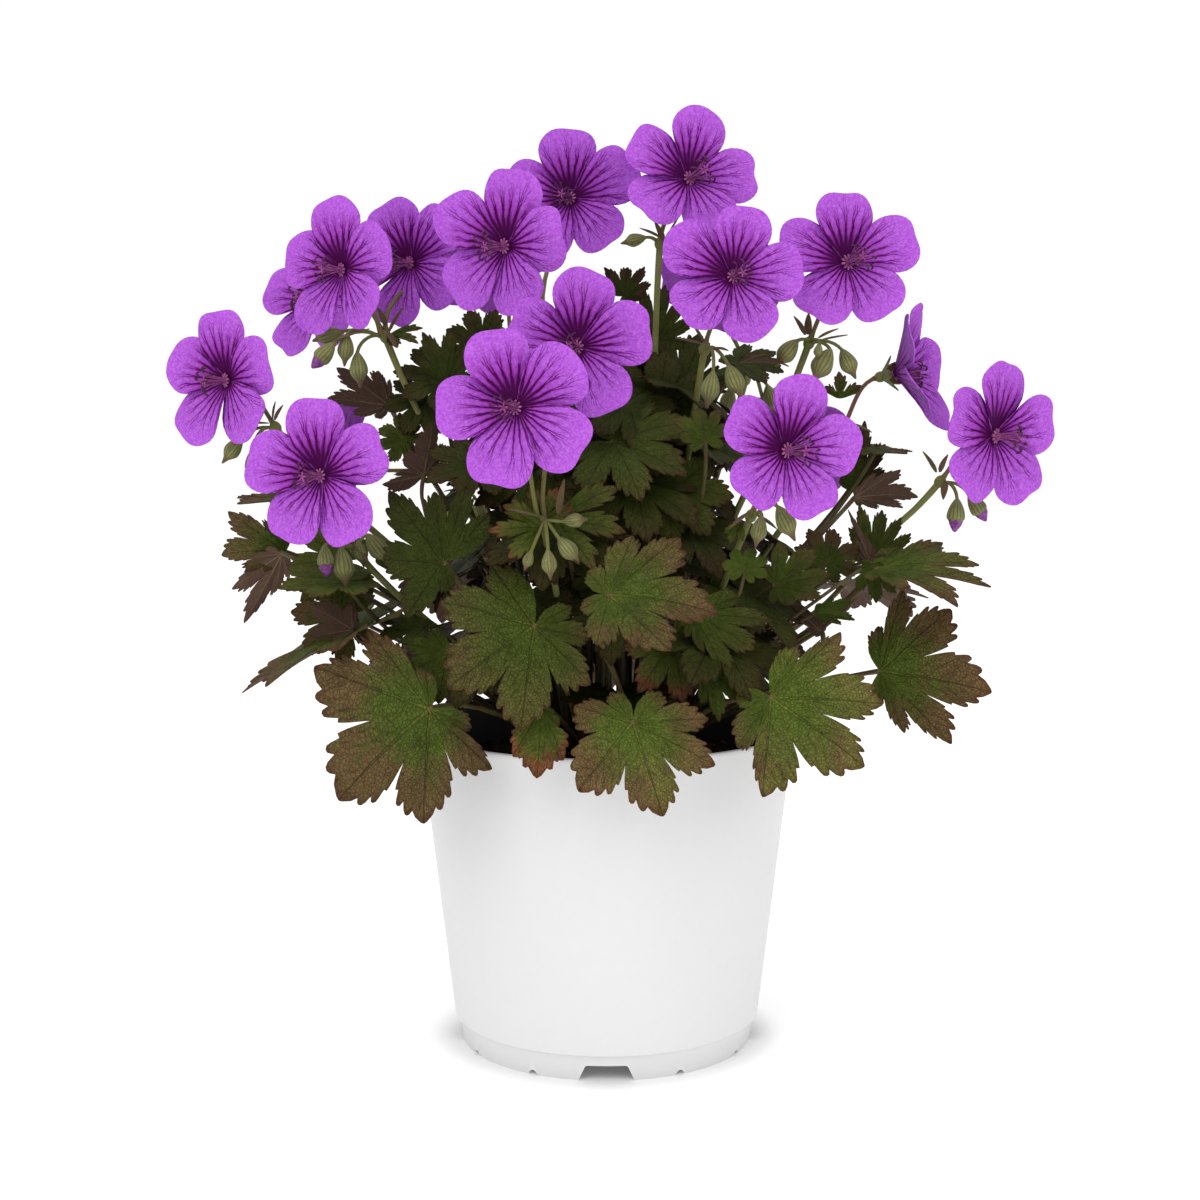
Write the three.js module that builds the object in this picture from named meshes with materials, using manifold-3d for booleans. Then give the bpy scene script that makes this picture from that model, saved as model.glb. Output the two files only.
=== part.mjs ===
// A hardy geranium in its nursery pot: pot, potting mix, crown, cut leaves on long petioles,
// forked flowering stems, five-petalled flowers and clusters of nodding buds.
//
// Millimetres, +Z up. The origin is the centre of the pot's foot, on the surface it stands on,
// and the front of the plant looks towards -Y.
import * as THREE from "three";
import { mergeVertices } from "three/addons/utils/BufferGeometryUtils.js";
import Module from "manifold-3d";

const wasm = await Module();
wasm.setup();

// ---------------------------------------------------------------- driving dimensions

const TOUCH_GAP = 0.35; // left wherever one piece is carried by another

const POT_HEIGHT = 109;
const RIM_RADIUS = 64.6;
const RIM_DEPTH = 3.4;
const WALL_TOP_RADIUS = 63.4;
const WALL_FOOT_RADIUS = 52.2;
const WALL_THICKNESS = 1.5;
const FOOT_TOP_RADIUS = 50.4;
const FOOT_RADIUS = 49.6;
const FOOT_HEIGHT = 8.4;
const FOOT_WIDTH = 2.2;
const FLOOR_TOP = 7.6;
const POT_SIDES = 40;

const DRAIN_NOTCHES = 4;
const NOTCH_HEIGHT = 5.2;
const NOTCH_WIDTH_LOW = 20;
const NOTCH_WIDTH_HIGH = 13;
const SMALL_NOTCH_RADIUS = 1.6;
const SMALL_NOTCH_TURNS = [-29, 29];
const DRAIN_HOLE_RADIUS = 4.5;
const DRAIN_HOLE_OUT = 36;
const CUT_LENGTH = 16;

const SOIL_LEVEL = 97;
const CROWN_RADIUS = 22;
const CROWN_HEIGHT = 9;

// Each kind of stem: its radius, and the sides and steps that its tube is made with.
const PETIOLE = { radius: 1.0, sides: 5, steps: 6 };
const SCAPE = { radius: 1.25, sides: 5, steps: 7 };
const PEDICEL = { radius: 0.8, sides: 4, steps: 5 };
const BUD_PEDICEL = { radius: 0.55, sides: 4, steps: 4 };
const STEM_PULL = 0.35; // how far a stem keeps its first and last direction, as a part of its span

const FORK_RADIUS = 2.3;
const FORK_LENGTH = 4;
const PEDICEL_SPREAD = 1.4; // pedicels that share a fork stand this far from its middle
const FLOWER_RADIUS = 24.5;
const LEAF_THICKNESS = 1.0;

// Each leaf: where its petiole meets the blade, the tip of its middle lobe and the way its upper
// side looks. A swing turns the place where the petiole leaves the crown, in degrees.
const LEAVES = [
  { name: "leaf_front_left", at: [-55, -60, 124], tip: [-84, -60, 95], face: [-0.25, -0.93, 0.25] },
  { name: "leaf_front_middle", at: [-22, -67, 151], tip: [-26, -78, 120], face: [0, -0.93, 0.35] },
  { name: "leaf_front_upper", at: [7, -88, 161], tip: [38, -94, 157], face: [0, -0.85, 0.5], swing: 18 },
  { name: "leaf_over_rim", at: [8, -78, 123], tip: [17, -87, 96], face: [0.05, -0.93, 0.35] },
  { name: "leaf_front_right", at: [51, -62, 128], tip: [80, -66, 107], face: [0.1, -0.93, 0.3] },
  { name: "leaf_right_low", at: [90, -22, 130], tip: [126, -28, 124], face: [-0.1, -0.93, 0.3] },
  { name: "leaf_left_middle", at: [-51, -50, 169], tip: [-69, -41, 191], face: [-0.1, -0.9, 0.3] },
  { name: "leaf_left_far", at: [-109, 3, 167], tip: [-132, 10, 165], face: [-0.3, -0.85, 0.4] },
  { name: "leaf_left_droop", at: [-83, -21, 143], tip: [-120, -23, 123], face: [-0.47, -0.05, 0.88] },
  { name: "leaf_left_upper", at: [-74, 14, 216], tip: [-92, 15, 229], face: [0.1, 0.95, 0.1], swing: -12 },
  { name: "leaf_right_middle", at: [20, -34, 190], tip: [33, -44, 179], face: [0.1, -0.85, 0.5] },
  { name: "leaf_right_inner", at: [27, -52, 153], tip: [38, -57, 133], face: [0.1, -0.93, 0.3] },
  { name: "leaf_right_far", at: [87, -32, 165], tip: [122, -44, 160], face: [0.02, -0.28, 0.95] },
  { name: "leaf_centre_upper", at: [2, -34, 206], tip: [25, -46, 198], face: [0, -0.7, 0.7] },
  { name: "leaf_back_left", at: [-50, 70, 158], tip: [-68, 96, 148], face: [-0.4, 0.7, 0.6] },
  { name: "leaf_back_middle", at: [-2, 76, 166], tip: [-4, 106, 154], face: [0, 0.75, 0.65] },
  { name: "leaf_back_right", at: [46, 68, 150], tip: [66, 94, 142], face: [0.4, 0.7, 0.6] },
  { name: "leaf_back_left_low", at: [-66, 44, 126], tip: [-84, 64, 106], face: [-0.6, 0.5, 0.6] },
  { name: "leaf_back_far_right", at: [84, 34, 152], tip: [112, 48, 148], face: [0.3, 0.3, 0.9] },
  { name: "leaf_back_over_rim", at: [8, 74, 120], tip: [14, 94, 96], face: [0.1, 0.8, 0.55] },
];

// Each flowering stem: the fork at its top, and the flowers there by throat and facing.
const SCAPES = [
  {
    name: "scape_left_high",
    fork: [-74, -4, 241],
    flowers: [
      { name: "flower_left_high", at: [-86, -10, 261], face: [-0.5, -0.86, 0.1] },
      { name: "flower_left_inner", at: [-62, 14, 268], face: [-0.35, -0.9, 0.15] },
      { name: "flower_left_behind", at: [-100, 36, 252], face: [-0.5, -0.8, 0.3] },
    ],
  },
  {
    name: "scape_left_far",
    fork: [-111, -6, 211],
    flowers: [{ name: "flower_left_far", at: [-125, -8, 225], face: [-0.5, -0.85, 0.1] }],
  },
  {
    name: "scape_left_low",
    fork: [-82, -30, 172],
    flowers: [{ name: "flower_left_low", at: [-89, -48, 196], face: [-0.28, -0.95, 0.1] }],
  },
  {
    name: "scape_middle_high",
    fork: [-22, -4, 248],
    swing: -30,
    flowers: [
      { name: "flower_middle_left", at: [-32, -24, 268], face: [-0.4, -0.9, 0.05] },
      { name: "flower_middle_top", at: [-12, 14, 287], face: [0, -0.97, 0.22] },
    ],
  },
  {
    name: "scape_top",
    fork: [18, 4, 272],
    flowers: [{ name: "flower_top", at: [27, 2, 291], face: [0.2, -0.9, 0.38] }],
  },
  {
    name: "scape_right_high",
    fork: [32, -22, 237],
    flowers: [{ name: "flower_right_inner", at: [40, -32, 258], face: [-0.05, -0.95, 0.22] }],
  },
  {
    name: "scape_right_upper",
    fork: [67, -12, 239],
    flowers: [{ name: "flower_right_high", at: [78, -14, 263], face: [0.08, -0.95, 0.28] }],
  },
  {
    name: "scape_right_side",
    fork: [80, -2, 211],
    flowers: [{ name: "flower_right_side", at: [96, 2, 227], face: [0.92, -0.33, 0.24] }],
  },
  {
    name: "scape_right_far",
    fork: [112, -8, 193],
    swing: 10,
    flowers: [{ name: "flower_right_far", at: [127, -14, 207], face: [0.52, -0.85, 0] }],
  },
  {
    name: "scape_right_front",
    fork: [46, -48, 185],
    swing: 18,
    flowers: [{ name: "flower_right_front", at: [54, -70, 205], face: [0.27, -0.95, 0.1] }],
  },
  {
    name: "scape_front",
    fork: [-20, -58, 184],
    flowers: [
      { name: "flower_front", at: [-27, -74, 218], face: [-0.05, -0.98, 0.12] },
      { name: "flower_front_upper", at: [-9, -42, 236], face: [0.04, -0.97, 0.12] },
    ],
  },
  {
    name: "scape_back_left",
    fork: [-34, 44, 240],
    flowers: [{ name: "flower_back_left", at: [-40, 60, 266], face: [-0.4, 0.75, 0.5] }],
  },
  {
    name: "scape_back_right",
    fork: [50, 46, 226],
    flowers: [
      { name: "flower_back_upper", at: [40, 60, 258], face: [0.3, 0.8, 0.5] },
      { name: "flower_back_right", at: [70, 80, 200], face: [0.55, 0.78, 0.3] },
    ],
  },
  {
    name: "scape_back_low",
    fork: [-52, 62, 184],
    flowers: [
      { name: "flower_back_middle", at: [-34, 92, 208], face: [-0.05, 0.93, 0.35] },
      { name: "flower_back_far_left", at: [-98, 62, 194], face: [-0.75, 0.6, 0.25] },
    ],
  },
];

// Each bud cluster: the stem whose fork carries it, and its buds by neck and tip.
const BUD_CLUSTERS = [
  {
    name: "buds_left",
    scape: "scape_left_high",
    buds: [
      [[-88, -1, 241], [-98, 2, 238]],
      [[-89, -15, 237], [-96, -18, 229]],
      [[-85, -12, 240], [-86, -12, 230]],
      [[-82, -10, 234], [-81, -11, 223]],
    ],
  },
  {
    name: "buds_front",
    scape: "scape_front",
    buds: [
      [[-14, -64, 183], [-6, -68, 184]],
      [[-16, -66, 179], [-8, -70, 170]],
      [[-18, -68, 176], [-17, -70, 165]],
      [[-23, -66, 174], [-25, -68, 168]],
    ],
  },
  {
    name: "buds_right",
    scape: "scape_right_upper",
    buds: [
      [[62, -16, 238], [55, -20, 230]],
      [[73, -16, 235], [67, -22, 225]],
      [[77, -14, 235], [81, -18, 226]],
    ],
  },
];

// ---------------------------------------------------------------- colours and finishes

const FINISHES = {
  pot: { color: 0xf1f1ef, roughness: 0.35 },
  soil: { color: 0x1d1610, roughness: 0.95 },
  crown: { color: 0x4a3a26, roughness: 0.9 },
  leaf: { color: 0x47552c, roughness: 0.7 },
  stem: { color: 0x6d7440, roughness: 0.6 },
  flower: { color: 0x9c46d2, roughness: 0.55 },
  bud: { color: 0x77804c, roughness: 0.7 },
};

const plant = new THREE.Group();

function addPiece(name, solid, finish) {
  const material = new THREE.MeshStandardMaterial({ ...FINISHES[finish], metalness: 0 });
  const mesh = new THREE.Mesh(toGeometry(solid), material);
  mesh.name = name;
  plant.add(mesh);
}

// ---------------------------------------------------------------- solids and meshes

const MERGE_DISTANCE = 1e-4;

function toSolid(geometry) {
  const bare = geometry.clone();
  bare.deleteAttribute("normal");
  bare.deleteAttribute("uv");
  const merged = mergeVertices(bare, MERGE_DISTANCE);
  const corners = merged.getIndex().array;
  const triangles = [];
  for (let i = 0; i < corners.length; i += 3) {
    const [a, b, c] = corners.slice(i, i + 3);
    if (a !== b && b !== c && c !== a) triangles.push(a, b, c);
  }
  return new wasm.Manifold(
    new wasm.Mesh({
      numProp: 3,
      vertProperties: new Float32Array(merged.getAttribute("position").array),
      triVerts: new Uint32Array(triangles),
    }),
  );
}

function toGeometry(solid) {
  const mesh = solid.getMesh();
  const geometry = new THREE.BufferGeometry();
  geometry.setAttribute("position", new THREE.BufferAttribute(mesh.vertProperties, mesh.numProp));
  geometry.setIndex(new THREE.BufferAttribute(mesh.triVerts, 1));
  geometry.computeVertexNormals();
  return geometry;
}

// A turned solid about +Z. Its profile runs from the bottom up, on its outside, as [radius, height].
function turned(profile, sides) {
  const points = profile.map(([radius, height]) => new THREE.Vector2(radius, height));
  return new THREE.LatheGeometry(points, sides).rotateX(Math.PI / 2);
}

function vector(coordinates) {
  return new THREE.Vector3(...coordinates);
}

// A frame whose Z looks along face and whose X points as nearly as it can along ahead.
function frameAt(origin, ahead, face) {
  const normal = face.clone().normalize();
  const forward = ahead.clone().addScaledVector(normal, -ahead.dot(normal)).normalize();
  const side = new THREE.Vector3().crossVectors(normal, forward);
  return new THREE.Matrix4().makeBasis(forward, side, normal).setPosition(origin);
}

// A round stem of one kind along a curve.
function stemSolid(curve, { radius, sides, steps }) {
  const corners = [];
  for (let i = 0; i < sides; i += 1) {
    const turn = (2 * Math.PI * i) / sides;
    corners.push(new THREE.Vector2(radius * Math.cos(turn), radius * Math.sin(turn)));
  }
  const section = new THREE.Shape(corners);
  return toSolid(new THREE.ExtrudeGeometry(section, { steps, extrudePath: curve, bevelEnabled: false }));
}

// A stem's curve leaves its start and reaches its end along the given directions.
function stemCurve(start, leaving, end, arriving) {
  const pull = start.distanceTo(end) * STEM_PULL;
  return new THREE.CubicBezierCurve3(
    start,
    start.clone().addScaledVector(leaving, pull),
    end.clone().addScaledVector(arriving, -pull),
    end,
  );
}

// A disc turned from a profile of unit radius, whose spokes take the reach and turn of an outline.
// The outline shapes the disc fully from ROUND_SHARE of its radius outwards, and the middle less.
const ROUND_SHARE = 0.625;

function spokedDisc(profile, spokes, radius) {
  const disc = turned(profile, spokes.length);
  const position = disc.getAttribute("position");
  const spokeAngle = (2 * Math.PI) / spokes.length;
  for (let i = 0; i < position.count; i += 1) {
    const x = position.getX(i);
    const y = position.getY(i);
    const out = Math.hypot(x, y);
    const index = Math.round((Math.atan2(y, x) + Math.PI / 2) / spokeAngle);
    const spoke = spokes[(index + spokes.length) % spokes.length];
    const reach = out * (1 + (spoke.reach - 1) * Math.min(1, out / ROUND_SHARE)) * radius;
    const turn = THREE.MathUtils.degToRad(spoke.turn);
    position.setXYZ(i, reach * Math.cos(turn), reach * Math.sin(turn), position.getZ(i) * radius);
  }
  return disc;
}

// ---------------------------------------------------------------- pot and soil

// The wall's outer radius at a height above the foot's step.
function wallRadius(height) {
  const share = (height - FOOT_HEIGHT) / (POT_HEIGHT - FOOT_HEIGHT);
  return WALL_FOOT_RADIUS + (WALL_TOP_RADIUS - WALL_FOOT_RADIUS) * share;
}


// A cutter along +Z is laid radially through the foot ring, at a turn from the front in degrees.
function footCutter(geometry, turn) {
  geometry.rotateX(Math.PI / 2);
  geometry.translate(0, -FOOT_RADIUS + CUT_LENGTH / 2, 0);
  geometry.rotateZ(THREE.MathUtils.degToRad(turn));
  return toSolid(geometry);
}

function drainNotch(turn) {
  const low = NOTCH_WIDTH_LOW / 2;
  const high = NOTCH_WIDTH_HIGH / 2;
  const below = -1;
  const right = [[low, below], [low, 0], [high, NOTCH_HEIGHT]];
  const left = right.map(([x, y]) => [-x, y]).reverse();
  const shape = new THREE.Shape([...right, ...left].map(([x, y]) => new THREE.Vector2(x, y)));
  return footCutter(new THREE.ExtrudeGeometry(shape, { depth: CUT_LENGTH, bevelEnabled: false }), turn);
}

function smallNotch(turn) {
  const cutter = new THREE.CylinderGeometry(SMALL_NOTCH_RADIUS, SMALL_NOTCH_RADIUS, CUT_LENGTH, 8);
  cutter.rotateX(Math.PI / 2);
  cutter.translate(0, 0, CUT_LENGTH / 2);
  return footCutter(cutter, turn);
}

function drainHole(turn) {
  const hole = new THREE.CylinderGeometry(DRAIN_HOLE_RADIUS, DRAIN_HOLE_RADIUS, CUT_LENGTH, 10);
  hole.rotateX(Math.PI / 2);
  hole.translate(0, -DRAIN_HOLE_OUT, FLOOR_TOP);
  hole.rotateZ(THREE.MathUtils.degToRad(turn));
  return toSolid(hole);
}

function buildPot() {
  const floorUnder = FLOOR_TOP - WALL_THICKNESS;
  const rimFoot = POT_HEIGHT - RIM_DEPTH;
  const footInside = FOOT_RADIUS - FOOT_WIDTH;
  const lip = 0.7;
  const profile = [
    [0, floorUnder],
    [footInside, floorUnder],
    [footInside, 0],
    [FOOT_RADIUS, 0],
    [FOOT_TOP_RADIUS, FOOT_HEIGHT],
    [WALL_FOOT_RADIUS, FOOT_HEIGHT + 0.6],
    [wallRadius(rimFoot - 1), rimFoot - 1],
    [RIM_RADIUS, rimFoot],
    [RIM_RADIUS, POT_HEIGHT - lip],
    [RIM_RADIUS - lip, POT_HEIGHT],
    [RIM_RADIUS - 2 * lip, POT_HEIGHT],
    [wallRadius(POT_HEIGHT) - WALL_THICKNESS, POT_HEIGHT - lip],
    [wallRadius(FOOT_HEIGHT) - WALL_THICKNESS - 1, FLOOR_TOP],
    [0, FLOOR_TOP],
  ];
  let pot = toSolid(turned(profile, POT_SIDES));
  for (let i = 0; i < DRAIN_NOTCHES; i += 1) {
    const turn = (360 * i) / DRAIN_NOTCHES;
    pot = pot.subtract(drainNotch(turn)).subtract(drainHole(turn + 45));
    for (const aside of SMALL_NOTCH_TURNS) pot = pot.subtract(smallNotch(turn + aside));
  }
  return pot;
}

// The mix fills the pot, clear of its wall, and rises a little towards the crown.
function buildSoil() {
  const lowRadius = wallRadius(FOOT_HEIGHT) - WALL_THICKNESS - 1 - 2 * TOUCH_GAP;
  const topRadius = wallRadius(SOIL_LEVEL) - WALL_THICKNESS - 2 * TOUCH_GAP;
  const profile = [
    [0, FLOOR_TOP + TOUCH_GAP],
    [lowRadius, FLOOR_TOP + TOUCH_GAP],
    [topRadius, SOIL_LEVEL - 3],
    [CROWN_RADIUS + 14, SOIL_LEVEL - 1],
    [CROWN_RADIUS + 4, SOIL_LEVEL],
    [0, SOIL_LEVEL],
  ];
  return toSolid(turned(profile, POT_SIDES));
}

// ---------------------------------------------------------------- crown

const CROWN_FOOT = SOIL_LEVEL + TOUCH_GAP;

function buildCrown() {
  const sides = 24;
  const profile = [[0, 0], [CROWN_RADIUS, 0]];
  for (const tilt of [20, 40, 60, 78]) {
    const angle = THREE.MathUtils.degToRad(tilt);
    profile.push([CROWN_RADIUS * Math.cos(angle), CROWN_HEIGHT * Math.sin(angle)]);
  }
  profile.push([0, CROWN_HEIGHT]);
  return toSolid(turned(profile, sides).translate(0, 0, CROWN_FOOT));
}

// A place on the crown's dome, just clear of it, and the way out of it there.
function crownPlace(azimuth, tilt) {
  const angle = THREE.MathUtils.degToRad(tilt);
  const turn = THREE.MathUtils.degToRad(azimuth);
  const out = new THREE.Vector3(
    (Math.cos(angle) * Math.cos(turn)) / CROWN_RADIUS,
    (Math.cos(angle) * Math.sin(turn)) / CROWN_RADIUS,
    Math.sin(angle) / CROWN_HEIGHT,
  ).normalize();
  const at = new THREE.Vector3(
    CROWN_RADIUS * Math.cos(angle) * Math.cos(turn),
    CROWN_RADIUS * Math.cos(angle) * Math.sin(turn),
    CROWN_FOOT + CROWN_HEIGHT * Math.sin(angle),
  ).addScaledVector(out, TOUCH_GAP);
  return { at, out };
}

// Low pieces grow from the edge of the crown and high ones from its top: the tilts, in degrees up
// the dome, of a stem whose end is at the low and at the high of these levels.
const ROOT_LEVELS = { low: 115, high: 275 };
const ROOT_TILTS = { low: 14, high: 66 };

function rootOf(target, swing = 0) {
  const azimuth = THREE.MathUtils.radToDeg(Math.atan2(target.y, target.x)) + swing;
  const share = (target.z - ROOT_LEVELS.low) / (ROOT_LEVELS.high - ROOT_LEVELS.low);
  const tilt = THREE.MathUtils.lerp(ROOT_TILTS.low, ROOT_TILTS.high, share);
  return crownPlace(azimuth, tilt);
}

// ---------------------------------------------------------------- leaves

// Half of a blade's outline, from the tip of the middle lobe round to the notch at the petiole.
const HALF_LEAF = [
  { turn: 13, reach: 0.88 },
  { turn: 26, reach: 0.56 },
  { turn: 39, reach: 0.84 },
  { turn: 52, reach: 0.97 },
  { turn: 66, reach: 0.82 },
  { turn: 80, reach: 0.54 },
  { turn: 94, reach: 0.7 },
  { turn: 110, reach: 0.84 },
  { turn: 128, reach: 0.72 },
  { turn: 146, reach: 0.56 },
  { turn: 164, reach: 0.3 },
];

const LEAF_SPOKES = [
  { turn: 0, reach: 1 },
  ...HALF_LEAF,
  { turn: 180, reach: 0.12 },
  ...HALF_LEAF.map(({ turn, reach }) => ({ turn: 360 - turn, reach })).reverse(),
];

// The blade bends down from its middle to its edge, and its two halves lift beside the midrib.
const BLADE_FALL = 0.14;
const BLADE_LIFT = 0.16;

function bendBlade(blade, radius) {
  const position = blade.getAttribute("position");
  for (let i = 0; i < position.count; i += 1) {
    const ahead = position.getX(i) / radius;
    const aside = position.getY(i) / radius;
    const fall = BLADE_FALL * (ahead * ahead + aside * aside);
    const lift = BLADE_LIFT * Math.abs(aside);
    position.setZ(i, position.getZ(i) + (lift - fall) * radius);
  }
  return blade;
}

// The petiole comes up under the blade, from behind its notch.
const PETIOLE_AHEAD = 0.45;
const PETIOLE_UP = 0.9;

function buildLeaf({ at, tip, face, swing }) {
  const junction = vector(at);
  const ahead = vector(tip).sub(junction);
  const radius = ahead.length();
  const half = LEAF_THICKNESS / 2 / radius;
  const profile = [[0, -half], [0.5, -half], [1, 0], [0.5, half], [0, half]];
  const frame = frameAt(junction, ahead, vector(face));
  const blade = bendBlade(spokedDisc(profile, LEAF_SPOKES, radius), radius).applyMatrix4(frame);
  const forward = new THREE.Vector3().setFromMatrixColumn(frame, 0);
  const upper = new THREE.Vector3().setFromMatrixColumn(frame, 2);
  const arriving = forward.multiplyScalar(PETIOLE_AHEAD).addScaledVector(upper, PETIOLE_UP).normalize();
  const root = rootOf(junction, swing);
  const curve = stemCurve(root.at, root.out, junction, arriving);
  return toSolid(blade).add(stemSolid(curve, PETIOLE));
}

// ---------------------------------------------------------------- flowering stems

// A bare stem that ends in a swollen, flat-topped fork.
function buildScape({ fork, swing }) {
  const top = vector(fork);
  const root = rootOf(top, swing);
  const arriving = forkDirection(fork);
  const curve = stemCurve(root.at, root.out, top, arriving);
  const stem = stemSolid(curve, SCAPE);
  const knuckle = new THREE.CylinderGeometry(FORK_RADIUS, SCAPE.radius, FORK_LENGTH, 8);
  knuckle.rotateX(Math.PI / 2).translate(0, 0, -FORK_LENGTH / 2);
  const aside = new THREE.Vector3(0, 1, 0);
  return stem.add(toSolid(knuckle.applyMatrix4(frameAt(top, aside, arriving))));
}

// A stem arrives at its fork along the line from the crown, turned a little upwards.
const UPTURN = 0.35;

function forkDirection(fork) {
  const crown = new THREE.Vector3(0, 0, SOIL_LEVEL);
  const along = vector(fork).sub(crown).normalize();
  return along.add(new THREE.Vector3(0, 0, UPTURN)).normalize();
}

// ---------------------------------------------------------------- flowers

const PETALS = 5;
const PETAL_SPOKES = [
  { turn: -36, reach: 0.6 },
  { turn: -21, reach: 0.95 },
  { turn: 0, reach: 1 },
  { turn: 21, reach: 0.95 },
];

// A shallow five-lobed cup over its calyx, as parts of the flower's radius.
const FLOWER_PROFILE = [
  [0, -0.26],
  [0.22, -0.06],
  [0.62, 0.06],
  [1, 0.15],
  [0.62, 0.1],
  [0.22, 0],
  [0, -0.02],
];
const CALYX_DEPTH = 0.22;

function flowerSpokes() {
  const spokes = [];
  for (let petal = 0; petal < PETALS; petal += 1) {
    const centre = (360 / PETALS) * petal;
    for (const { turn, reach } of PETAL_SPOKES) spokes.push({ turn: centre + turn, reach });
  }
  return spokes;
}

function buildFlower({ at, face }, fork, place, count) {
  const throat = vector(at);
  const looking = vector(face).normalize();
  const up = new THREE.Vector3(0, 0, 1);
  const frame = frameAt(throat, up, looking);
  const corolla = spokedDisc(FLOWER_PROFILE, flowerSpokes(), FLOWER_RADIUS).applyMatrix4(frame);
  const base = throat.clone().addScaledVector(looking, -CALYX_DEPTH * FLOWER_RADIUS);
  const start = pedicelStart(fork, throat, place, count);
  const curve = stemCurve(start, forkDirection(fork), base, looking);
  return toSolid(corolla).add(stemSolid(curve, PEDICEL));
}

// Pedicels that share a fork stand beside each other on its flat top, each towards its own flower.
function pedicelStart(fork, throat, place, count) {
  const upward = forkDirection(fork);
  const start = vector(fork).addScaledVector(upward, TOUCH_GAP);
  if (count === 1) return start;
  const towards = throat.clone().sub(start);
  towards.addScaledVector(upward, -towards.dot(upward)).normalize();
  return start.addScaledVector(towards, PEDICEL_SPREAD);
}

// ---------------------------------------------------------------- buds

const BUD_NECK = 0.8; // the pedicel enters the bud this far
const BUD_RISE = 0.8; // a bud's pedicel first climbs as it leaves the fork
const BUD_PROFILE = [[0, 0], [0.17, 0.13], [0.29, 0.42], [0.22, 0.8], [0, 1]]; // as parts of its length

// The buds of a cluster hang from one foot beside the stem's fork, on short arched pedicels.
function buildBuds({ buds }, fork) {
  const middle = new THREE.Vector3();
  for (const [neck] of buds) middle.addScaledVector(vector(neck), 1 / buds.length);
  const upward = forkDirection(fork);
  const collar = vector(fork).addScaledVector(upward, -FORK_LENGTH / 3);
  const outward = middle.clone().sub(collar);
  outward.addScaledVector(upward, -outward.dot(upward)).normalize();
  const foot = collar.addScaledVector(outward, FORK_RADIUS + TOUCH_GAP);
  const parts = buds.map(([neck, tip]) => buildBud(vector(neck), vector(tip), foot, outward));
  return parts.reduce((joined, part) => joined.add(part));
}

function buildBud(neck, tip, foot, outward) {
  const length = neck.distanceTo(tip);
  const pointing = tip.clone().sub(neck).normalize();
  const profile = BUD_PROFILE.map(([radius, height]) => [radius * length, height * length]);
  const bud = turned(profile, 6).applyMatrix4(frameAt(tip, outward, pointing.clone().negate()));
  const leaving = outward.clone().add(new THREE.Vector3(0, 0, BUD_RISE)).normalize();
  const inside = neck.addScaledVector(pointing, BUD_NECK);
  return toSolid(bud).add(stemSolid(stemCurve(foot, leaving, inside, pointing), BUD_PEDICEL));
}

// ---------------------------------------------------------------- assembly

addPiece("pot", buildPot(), "pot");
addPiece("soil", buildSoil(), "soil");
addPiece("crown", buildCrown(), "crown");
for (const leaf of LEAVES) addPiece(leaf.name, buildLeaf(leaf), "leaf");
for (const scape of SCAPES) {
  addPiece(scape.name, buildScape(scape), "stem");
  scape.flowers.forEach((flower, place) => {
    addPiece(flower.name, buildFlower(flower, scape.fork, place, scape.flowers.length), "flower");
  });
}
for (const cluster of BUD_CLUSTERS) {
  const { fork } = SCAPES.find(({ name }) => name === cluster.scape);
  addPiece(cluster.name, buildBuds(cluster, fork), "bud");
}

export default plant;
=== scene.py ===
"""A hardy geranium in its nursery pot: the looks of the plant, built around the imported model.

Places are in millimetres in the tables below and in metres in Blender. +Z is up, the pot's foot
stands at the origin and the front of the plant looks towards -Y.
"""

import math
import random
from contextlib import contextmanager
from functools import cache, partialmethod

import bpy
import numpy as np
from bpy.props import FloatProperty, FloatVectorProperty, IntProperty, PointerProperty
from bpy.types import Operator, Panel, PropertyGroup
from mathutils import Matrix, Vector


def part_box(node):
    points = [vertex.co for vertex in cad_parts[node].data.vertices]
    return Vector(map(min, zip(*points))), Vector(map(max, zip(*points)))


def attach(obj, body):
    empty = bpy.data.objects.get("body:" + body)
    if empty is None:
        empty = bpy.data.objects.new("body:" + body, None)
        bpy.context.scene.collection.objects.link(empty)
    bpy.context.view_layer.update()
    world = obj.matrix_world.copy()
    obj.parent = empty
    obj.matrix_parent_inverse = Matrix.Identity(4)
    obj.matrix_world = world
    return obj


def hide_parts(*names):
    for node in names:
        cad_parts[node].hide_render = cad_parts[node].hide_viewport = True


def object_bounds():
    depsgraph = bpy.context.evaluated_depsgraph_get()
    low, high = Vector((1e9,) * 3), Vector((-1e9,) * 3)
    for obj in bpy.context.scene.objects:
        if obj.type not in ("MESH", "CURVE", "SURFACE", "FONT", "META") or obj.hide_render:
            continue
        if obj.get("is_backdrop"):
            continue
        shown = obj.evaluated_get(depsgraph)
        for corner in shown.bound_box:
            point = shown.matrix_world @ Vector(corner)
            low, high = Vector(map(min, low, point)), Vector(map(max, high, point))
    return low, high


bl_info = {
    "name": "Potted hardy geranium",
    "version": (1, 0, 0),
    "blender": (4, 5, 0),
    "location": "3D View > Sidebar > Geranium",
    "description": "Builds a flowering hardy geranium in a round nursery pot, piece by piece",
    "category": "Object",
}

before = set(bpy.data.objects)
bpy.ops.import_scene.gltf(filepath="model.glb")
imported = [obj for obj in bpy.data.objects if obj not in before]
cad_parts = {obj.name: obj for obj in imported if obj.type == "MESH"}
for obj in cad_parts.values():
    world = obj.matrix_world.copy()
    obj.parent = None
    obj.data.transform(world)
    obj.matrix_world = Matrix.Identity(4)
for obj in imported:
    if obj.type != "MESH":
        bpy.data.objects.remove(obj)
CAD_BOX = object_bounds()
POT_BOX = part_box("pot")

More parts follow.
